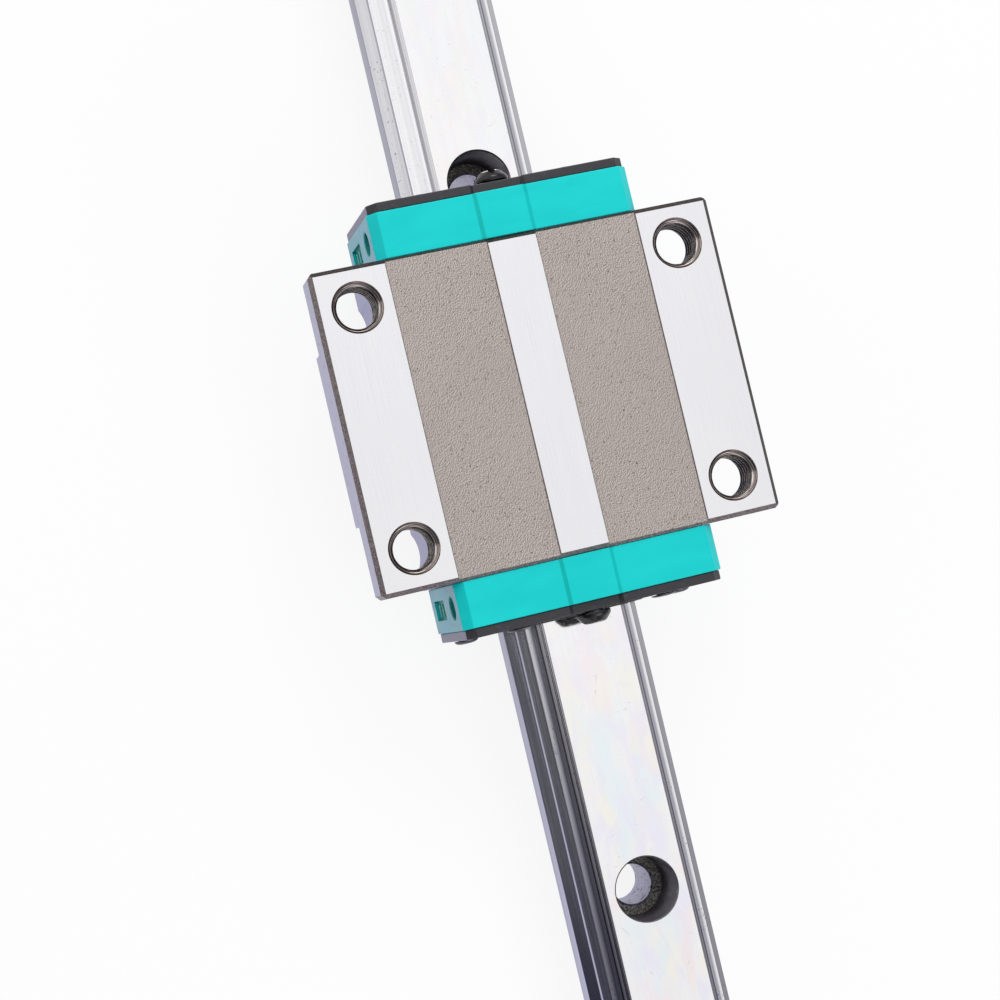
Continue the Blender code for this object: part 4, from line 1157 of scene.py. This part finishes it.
def thread_radius(height, angle):
    """The thread's wall at a height and an angle, with the countersink above it."""
    turn = (height / THREAD_PITCH + angle / (2 * math.pi)) % 1
    slope = min(max((abs(2 * turn - 1) - THREAD_CREST_SHARE) / THREAD_FLANK_SHARE, 0), 1)
    wall = THREAD_MINOR + (THREAD_MAJOR - THREAD_MINOR) * slope
    countersink = THREAD_MOUTH - THREAD_SKIN - (TOP - THREAD_RIM - height)
    return max(wall, countersink)


def thread_zone(centre, normal):
    """The surface of a face of a threaded sleeve."""
    # The lead-in band and the crests get lighter copies, painted highlights; the rest is darkened, painted
    # shade inside the hole
    if abs(centre.z - THREAD_START) < THREAD_HIGHLIGHT_BAND:
        return "block_thread_painted_highlight"
    if centre.z > THREAD_START:
        return "block_countersink"
    return "block_thread_crest" if from_tap_axis(centre) < THREAD_MINOR + THREAD_CREST else "block_cut_thread"


def make_threads():
    """A threaded sleeve in each tapped hole, from its countersink down to the bolt head's recess."""
    top = TOP - THREAD_RIM - (THREAD_MOUTH - SLEEVE_RADIUS) - SLEEVE_GAP
    foot = BOLT_HEAD_SEAT + SLEEVE_GAP
    turns = [2 * math.pi * step / THREAD_SIDES for step in range(THREAD_SIDES)]
    heights = [foot + (top - foot) * row / THREAD_ROWS for row in range(THREAD_ROWS + 1)]
    for name, side, end in corners():
        middle = (side * TAP_X, carriage_y(end * TAP_Y))
        shape = bmesh.new()
        rings = []
        for height in heights:
            radii = [min(thread_radius(height, turn), SLEEVE_RADIUS - THREAD_SKIN) for turn in turns]
            rings.append(ring_of_verts(shape, *middle, height, radii))
        for height in (top, foot):
            rings.append(ring_of_verts(shape, *middle, height, [SLEEVE_RADIUS] * THREAD_SIDES))
        for first, second in zip(rings, rings[1:] + rings[:1]):
            join_rings(shape, first, second)
        sleeve = loose_object(finished_mesh(f"thread_{name}", shape))
        finish_piece(sleeve, thread_zone, sharp=50)


def outward_of(side, level):
    """The direction from a loaded row to its return bore."""
    angle = RETURN_ANGLES[level]
    return Vector((side * math.cos(angle), 0, math.sin(angle)))


def turn_middle(side, level):
    """The middle between a loaded row and its return bore."""
    return Vector((side * LOAD_ROW_X, 0, ROW_HEIGHTS[level])) + outward_of(side, level) * TURN_RADIUS


def return_place(side, level):
    loaded = Vector((side * LOAD_ROW_X, 0, ROW_HEIGHTS[level]))
    return turn_middle(side, level) * 2 - loaded


def turn_place(side, level, end):
    middle = turn_middle(side, level)
    tilt = Matrix.Rotation(-side * RETURN_ANGLES[level], 4, "Y")
    return Matrix.Translation((middle.x, carriage_y(end * TURN_START), middle.z)) @ tilt


def bridge_mesh(name, end, side):
    """The room for the bridge between the two return guides of one side of a cap."""
    upper, lower = (turn_middle(side, level) for level in ("upper", "lower"))
    middle = (upper.x + lower.x) / 2
    half = BRIDGE_HALF_WIDTH + BRIDGE_CLEARANCE
    low = (middle - half, carriage_y(end * TURN_START), lower.z)
    high = (middle + half, carriage_y(end * (CAP_INNER + BRIDGE_DEPTH + BRIDGE_CLEARANCE)), upper.z)
    return box_mesh(name, low, high)


def plug_hole(y, length):
    return rod("plug_hole", PLUG_HOLE_RADIUS, lying(0, y, PLUG_Z), length, BORE_SIDES)


def cap_cuts(end):
    """What is cut from an end cap: turnarounds, bridges, screw and plug holes, ports and windows."""
    rim = arc((TURN_RADIUS, 0), RACE_RADIUS, math.pi / 2, -math.pi / 2, TURN_STEPS)
    turnaround = [(0, RACE_RADIUS), *rim, (0, -RACE_RADIUS)]
    for side in LEFT_AND_RIGHT.values():
        for level in ROW_HEIGHTS:
            yield turned(f"turn_{side}_{level}", turnaround, TURN_SIDES, turn_place(side, level, end))
        yield bridge_mesh(f"bridge_{side}", end, side)
    middle = end * CAP_MIDDLE
    yield from screw_holes(middle, CAP_OUTER - CAP_INNER + 2 * CUT_MARGIN)
    yield plug_hole(end * PLUG_HOLE_MIDDLE, PLUG_HOLE_LENGTH)
    port = [
        (0, CUT_MARGIN),
        (PORT_RADIUS + PORT_LIP, CUT_MARGIN),
        (PORT_RADIUS + PORT_LIP, PORT_FLARE_TOP),
        (PORT_RADIUS, PORT_FLARE_FOOT),
        (PORT_RADIUS, PORT_LIP - PORT_DEPTH),
        (PORT_RADIUS - PORT_LIP, -PORT_DEPTH),
        (0, -PORT_DEPTH),
    ]
    for side in LEFT_AND_RIGHT.values():
        face = side * CAP_HALF_WIDTH
        outward = Matrix.Rotation(side * math.pi / 2, 4, "Y")
        place = Matrix.Translation((face, carriage_y(middle), PORT_Z)) @ outward
        yield turned(f"port_{side}", port, PORT_SIDES, place)
        low = (face - side * WINDOW_DEPTH, carriage_y(middle - WINDOW_WIDTH / 2), WINDOW_FLOOR)
        high = (face + side * CUT_MARGIN, carriage_y(middle + WINDOW_WIDTH / 2), WINDOW_FLOOR + WINDOW_HEIGHT)
        yield box_mesh(f"window_{side}", low, high, WINDOW_EDGE)


def cap_ribs(end):
    """Moulded ribs on the floor of each side window."""
    middle = end * CAP_MIDDLE
    for side in LEFT_AND_RIGHT.values():
        face = side * CAP_HALF_WIDTH
        for index in range(RIB_COUNT):
            z = WINDOW_FLOOR + FIRST_RIB + index * RIB_PITCH
            low = (face - side * (WINDOW_DEPTH + RIB_ROOT), carriage_y(middle - RIB_REACH), z)
            high = (face - side * WINDOW_DEPTH / 2, carriage_y(middle + RIB_REACH), z + RIB_WIDTH)
            yield box_mesh(f"rib_{side}_{index}", low, high, RIB_EDGE)


def make_cap(end_name, end):
    name = f"cap_moulding_{end_name}"
    cap = loose_object(soft_bar(name, cap_outline(), end, CAP_INNER, CAP_OUTER, *CAP_EDGES))
    shaped(cap, cap_cuts(end), added=cap_ribs(end))

    def zone(centre, normal):
        depth = CAP_HALF_WIDTH - abs(centre.x)
        # The caps' side faces get the paler, bluer copy: painted reflection
        if depth < ON_FACE:
            return "cap_teal_side_painted_reflection"
        in_band = abs(centre.x) < CAP_BAND + CAP_BAND_SLOPE and centre.z > CAP_TOP
        # The band's sloped creases get the darker copy: painted shade
        if in_band and abs(normal.x) > CREASE_SLOPE:
            return "cap_teal_plastic_crease"
        across = abs(centre.y - carriage_y(end * CAP_MIDDLE))
        in_window = depth < WINDOW_DEPTH + NEAR_FACE and across < WINDOW_WIDTH / 2 + BY_FACE
        in_window = in_window and 0 < centre.z - WINDOW_FLOOR < WINDOW_HEIGHT
        in_port = math.hypot(across, centre.z - PORT_Z) < PORT_RADIUS + PORT_LIP
        in_port = in_port and depth < PORT_DEPTH + NEAR_FACE
        # Recesses get the darker copy: painted shade
        return "cap_teal_plastic_recess" if in_window or in_port else "cap_teal_plastic"

    finish_piece(cap, zone, replaces=[f"end_cap_{end_name}"])


def seal_zone(centre, normal):
    """The surface of a face of a seal."""
    # The side faces get the paler, lavender copy: painted reflection
    at_side = abs(centre.x) > CAP_HALF_WIDTH - SEAL_INSET - BY_SEAL_SIDE
    return "seal_rubber_side" if at_side else "seal_black_rubber"


def make_seal(end_name, end):
    name = f"seal_moulding_{end_name}"
    seal = loose_object(soft_bar(name, seal_outline(), end, SEAL_INNER, SEAL_OUTER, *SEAL_EDGES))
    place = end * SEAL_INNER
    length = 2 * (SEAL_OUTER - SEAL_INNER + CUT_MARGIN)
    shaped(seal, [*screw_holes(place, length), plug_hole(place, length)])
    finish_piece(seal, seal_zone, replaces=[f"end_seal_{end_name}"])


def make_lip(end_name, end):
    """The raised lip that follows the rail on a seal's outer face."""
    inner = astride_points(SEAL_CLEARANCE)
    outer = astride_points(SEAL_CLEARANCE + SEAL_LIP_WIDTH)
    outline = inner + outer[::-1]
    span = (SEAL_OUTER - SEAL_LIP_ROOT, SEAL_OUTER + SEAL_LIP_HEIGHT)
    lip = loose_object(soft_bar(f"seal_lip_{end_name}", outline, end, *span, *LIP_EDGES))
    finish_piece(lip, "seal_black_rubber")


def astride_points(clearance):
    """An open line round the rail at a clearance, from its left foot over its top to its right foot."""
    rail_half = rail_half_outline()
    right = grown(both_sides(rail_half), clearance)[: len(rail_half) - 3]
    foot = (RAIL_HALF_WIDTH + clearance, CAP_FLOOR + SEAL_LIP_FOOT_SLOPE * clearance)
    half = [*right, foot]
    return [(-x, z) for x, z in reversed(half) if x > 0] + half


def make_screw(end_name, end, name, x, z):
    """A pan head screw with a cross recess."""
    place = lying(x, end * HEAD_SEAT, z, end)
    height = SCREW_HEADS[name.split("_")[0]]
    dome = [(0, 1), (1.3, 0.955), (2.0, 0.8), (2.5, 0.5), (2.68, 0.17), (2.7, 0)]
    head = [(radius, share * height) for radius, share in dome]
    shank = [(1.55, 0), (1.5, -0.1), (1.5, -17.6), (1.1, -18.6), (0, -18.6)]
    screw = loose_object(turned(f"screw_{end_name}_{name}", head + shank, SCREW_SIDES, place))
    low = (-SCREW_CROSS_REACH, -SCREW_CROSS_HALF_WIDTH, height - SCREW_CROSS_DEPTH)
    high = (SCREW_CROSS_REACH, SCREW_CROSS_HALF_WIDTH, CUT_MARGIN)
    turns = (math.pi / 4, math.pi * 3 / 4)
    cuts = [set_down(box_mesh("recess", low, high), place, turn) for turn in turns]
    shaped(screw, cuts)
    replaces = [f"cap_screw_{end_name}_{name}"]
    finish_piece(screw, "screw_blackened_steel", replaces=replaces)


def make_plug(end_name, end):
    """A press-in grease plug: a round collar, a short cone, and a round groove across its nose."""
    place = lying(0, end * HEAD_SEAT, PLUG_Z, end)
    nose = [(0, PLUG_TIP), (1.8, PLUG_TIP - 0.03), (2.35, PLUG_TIP - 0.18), (2.7, PLUG_TIP - 0.45)]
    cone = [(3.1, 1.7), (3.45, 1.32), (3.68, 1.05), (3.8, 0.75), (3.8, 0.22), (3.72, 0.05), (3.6, 0)]
    shank = [(2.5, 0), (2.5, -5.7), (2.2, -6), (0, -6)]
    plug = loose_object(turned(f"plug_{end_name}", nose + cone + shank, PLUG_SIDES, place))
    height = PLUG_TIP - PLUG_GROOVE_DEPTH + PLUG_GROOVE_RADIUS
    across = Matrix.Translation((0, 0, height)) @ Matrix.Rotation(math.pi / 2, 4, "Y")
    groove = rod("groove", PLUG_GROOVE_RADIUS, across, PLUG_GROOVE_LENGTH, BORE_SIDES)
    shaped(plug, [set_down(groove, place, PLUG_GROOVE_TURNS[end_name])])
    replaces = [f"grease_plug_{end_name}"]
    finish_piece(plug, "plug_black_plastic", sharp=40, replaces=replaces)


def circuit_point(side, level, distance):
    """A point of a circuit's middle line, at a distance round it from its loaded row's front."""
    straight = 2 * TURN_START
    distance %= 2 * HALF_CIRCUIT
    back = distance >= HALF_CIRCUIT
    if back:
        distance -= HALF_CIRCUIT
    sign = -1 if back else 1
    if distance < straight:
        across, along = -TURN_RADIUS, distance - TURN_START
    else:
        turn = (distance - straight) / TURN_RADIUS
        across = -TURN_RADIUS * math.cos(turn)
        along = TURN_START + TURN_RADIUS * math.sin(turn)
    sideways = outward_of(side, level) * across * sign
    return turn_middle(side, level) + sideways + Vector((0, carriage_y(along * sign), 0))


def make_balls():
    """Each circuit's separate balls, in place of its train of joined ones."""
    spacing = 2 * HALF_CIRCUIT / BALLS_IN_CIRCUIT
    for name, side, level in circuits():
        shape = bmesh.new()
        for index in range(BALLS_IN_CIRCUIT):
            place = Matrix.Translation(circuit_point(side, level, index * spacing))
            bmesh.ops.create_icosphere(shape, subdivisions=3, radius=BALL_RADIUS, matrix=place)
        balls = loose_object(finished_mesh(f"balls_{name}", shape))
        replaces = [f"ball_circuit_{name}"]
        finish_piece(balls, "ball_polished_steel", sharp=60, replaces=replaces)


def dress_remaining_nodes():
    """Gives the modelled pieces that stay as they are their finished surfaces."""
    for name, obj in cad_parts.items():
        for start, surface in REMAINING_SURFACES.items():
            if name.startswith(start):
                for slot in obj.material_slots:
                    slot.material = materials[surface]


# Stage


def make_floor():
    """A white floor that falls off to grey well outside the picture."""
    shape = bmesh.new()
    bmesh.ops.create_grid(shape, x_segments=1, y_segments=1, size=FLOOR_HALF_SIZE)
    mesh = bpy.data.meshes.new("floor")
    shape.to_mesh(mesh)
    shape.free()
    floor = loose_object(mesh)
    floor.location.z = FLOOR_HEIGHT
    surface = Surface("floor_white", (0.86, 0.86, 0.88), 0.9)
    cloud = surface.noise(0.004, detail=2.0)
    white = surface.blend(cloud, 0.3, 0.7, (0.85, 0.85, 0.87), (0.88, 0.88, 0.9))
    falloff = surface.ramp(surface.reach(), FLOOR_NEAR_RADIUS, FLOOR_FAR_RADIUS)
    grey = (FLOOR_FAR, FLOOR_FAR, FLOOR_FAR)
    surface.colour(surface.mix(falloff, white, grey))
    seen = surface.nodes.new("ShaderNodeLightPath").outputs
    direct = surface.math("MAXIMUM", seen["Is Camera Ray"], seen["Is Glossy Ray"])
    direct = surface.math("MAXIMUM", direct, seen["Is Transmission Ray"])
    share = surface.times(direct, FLOOR_GLOW)
    glow = surface.add("ShaderNodeEmission", {"Color": surface.mix(falloff, (1.0, 1.0, 1.0), grey)})
    shaders = {1: surface.shader.outputs[0], 2: glow.outputs[0]}
    blend = surface.add("ShaderNodeMixShader", {0: share, **shaders})
    surface.links.new(blend.outputs[0], surface.nodes["Material Output"].inputs["Surface"])
    mesh.materials.append(surface.material)
    floor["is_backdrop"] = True


def make_world():
    """A bright ceiling, with a dark side to the left in front and a bright one behind it."""
    world = bpy.data.worlds.new("studio")
    bpy.context.scene.world = world
    world.use_nodes = True
    graph = Graph(world.node_tree)
    background = graph.nodes["Background"]

    def between(first, second, factor):
        return graph.add("ShaderNodeMix", {"Factor": factor, "A": first, "B": second}).outputs[0]

    direction = graph.nodes.new("ShaderNodeTexCoord").outputs["Generated"]
    x, y, z = graph.add("ShaderNodeSeparateXYZ", {"Vector": direction}).outputs
    ceiling = graph.ramp(y, -0.35, 0.15, CEILING_FRONT, CEILING_REAR)
    right = between(graph.ramp(y, -0.8, 0.8, *RIGHT_LEVELS), ceiling, graph.ramp(z, 0.55, 0.87))
    left_rear = between(LEFT_REAR, ceiling, graph.ramp(z, 0.5, 0.8))
    left_front = between(LEFT_FRONT, ceiling, graph.ramp(x, -0.8, 0.12))
    left = between(left_front, left_rear, graph.ramp(y, 0.03, 0.13))
    level = between(left, right, graph.ramp(x, 0.05, 0.2))
    blue = graph.times(level, graph.ramp(level, 0.1, 0.9, DARK_BLUENESS, 1))
    tinted = graph.add("ShaderNodeCombineColor", {"Red": level, "Green": level, "Blue": blue})
    graph.links.new(tinted.outputs[0], background.inputs["Color"])
    background.inputs["Strength"].default_value = 1.0


def make_lamp(name, place, power):
    """A round lamp at a place in metres, aimed at the carriage."""
    data = bpy.data.lights.new(name, "AREA")
    data.shape = "DISK"
    data.size = LAMP_SIZE
    data.energy = power
    lamp = loose_object(data)
    lamp.location = place
    aim = Vector(LAMP_TARGET) - Vector(place)
    lamp.rotation_euler = aim.to_track_quat("-Z", "Y").to_euler()


def make_camera():
    data = bpy.data.cameras.new("camera")
    data.sensor_width = CAMERA_SENSOR
    data.lens = CAMERA_LENS
    camera = loose_object(data)
    camera.location = CAMERA_PLACE
    camera.rotation_euler = [math.radians(angle) for angle in CAMERA_TURN]
    bpy.context.scene.camera = camera
    bpy.context.scene.view_settings.view_transform = "Standard"


def main():
    make_camera()
    make_world()
    make_lamp("softbox_rear", (0.3, 1.12, 0.9), 8.0)
    make_lamp("softbox_front", (0.5, -1.1, 0.9), 5.0)
    make_floor()
    make_surfaces()
    make_rail()
    make_block()
    make_threads()
    for end_name, end in FRONT_AND_REAR.items():
        make_cap(end_name, end)
        make_seal(end_name, end)
        make_lip(end_name, end)
        make_plug(end_name, end)
        for name, x, z in screw_places():
            make_screw(end_name, end, name, x, z)
    make_balls()
    dress_remaining_nodes()


main()
boxes = {"cad": cad_box, "visual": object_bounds()}
plain = {name: [[float(v) for v in corner] for corner in box] for name, box in boxes.items()}
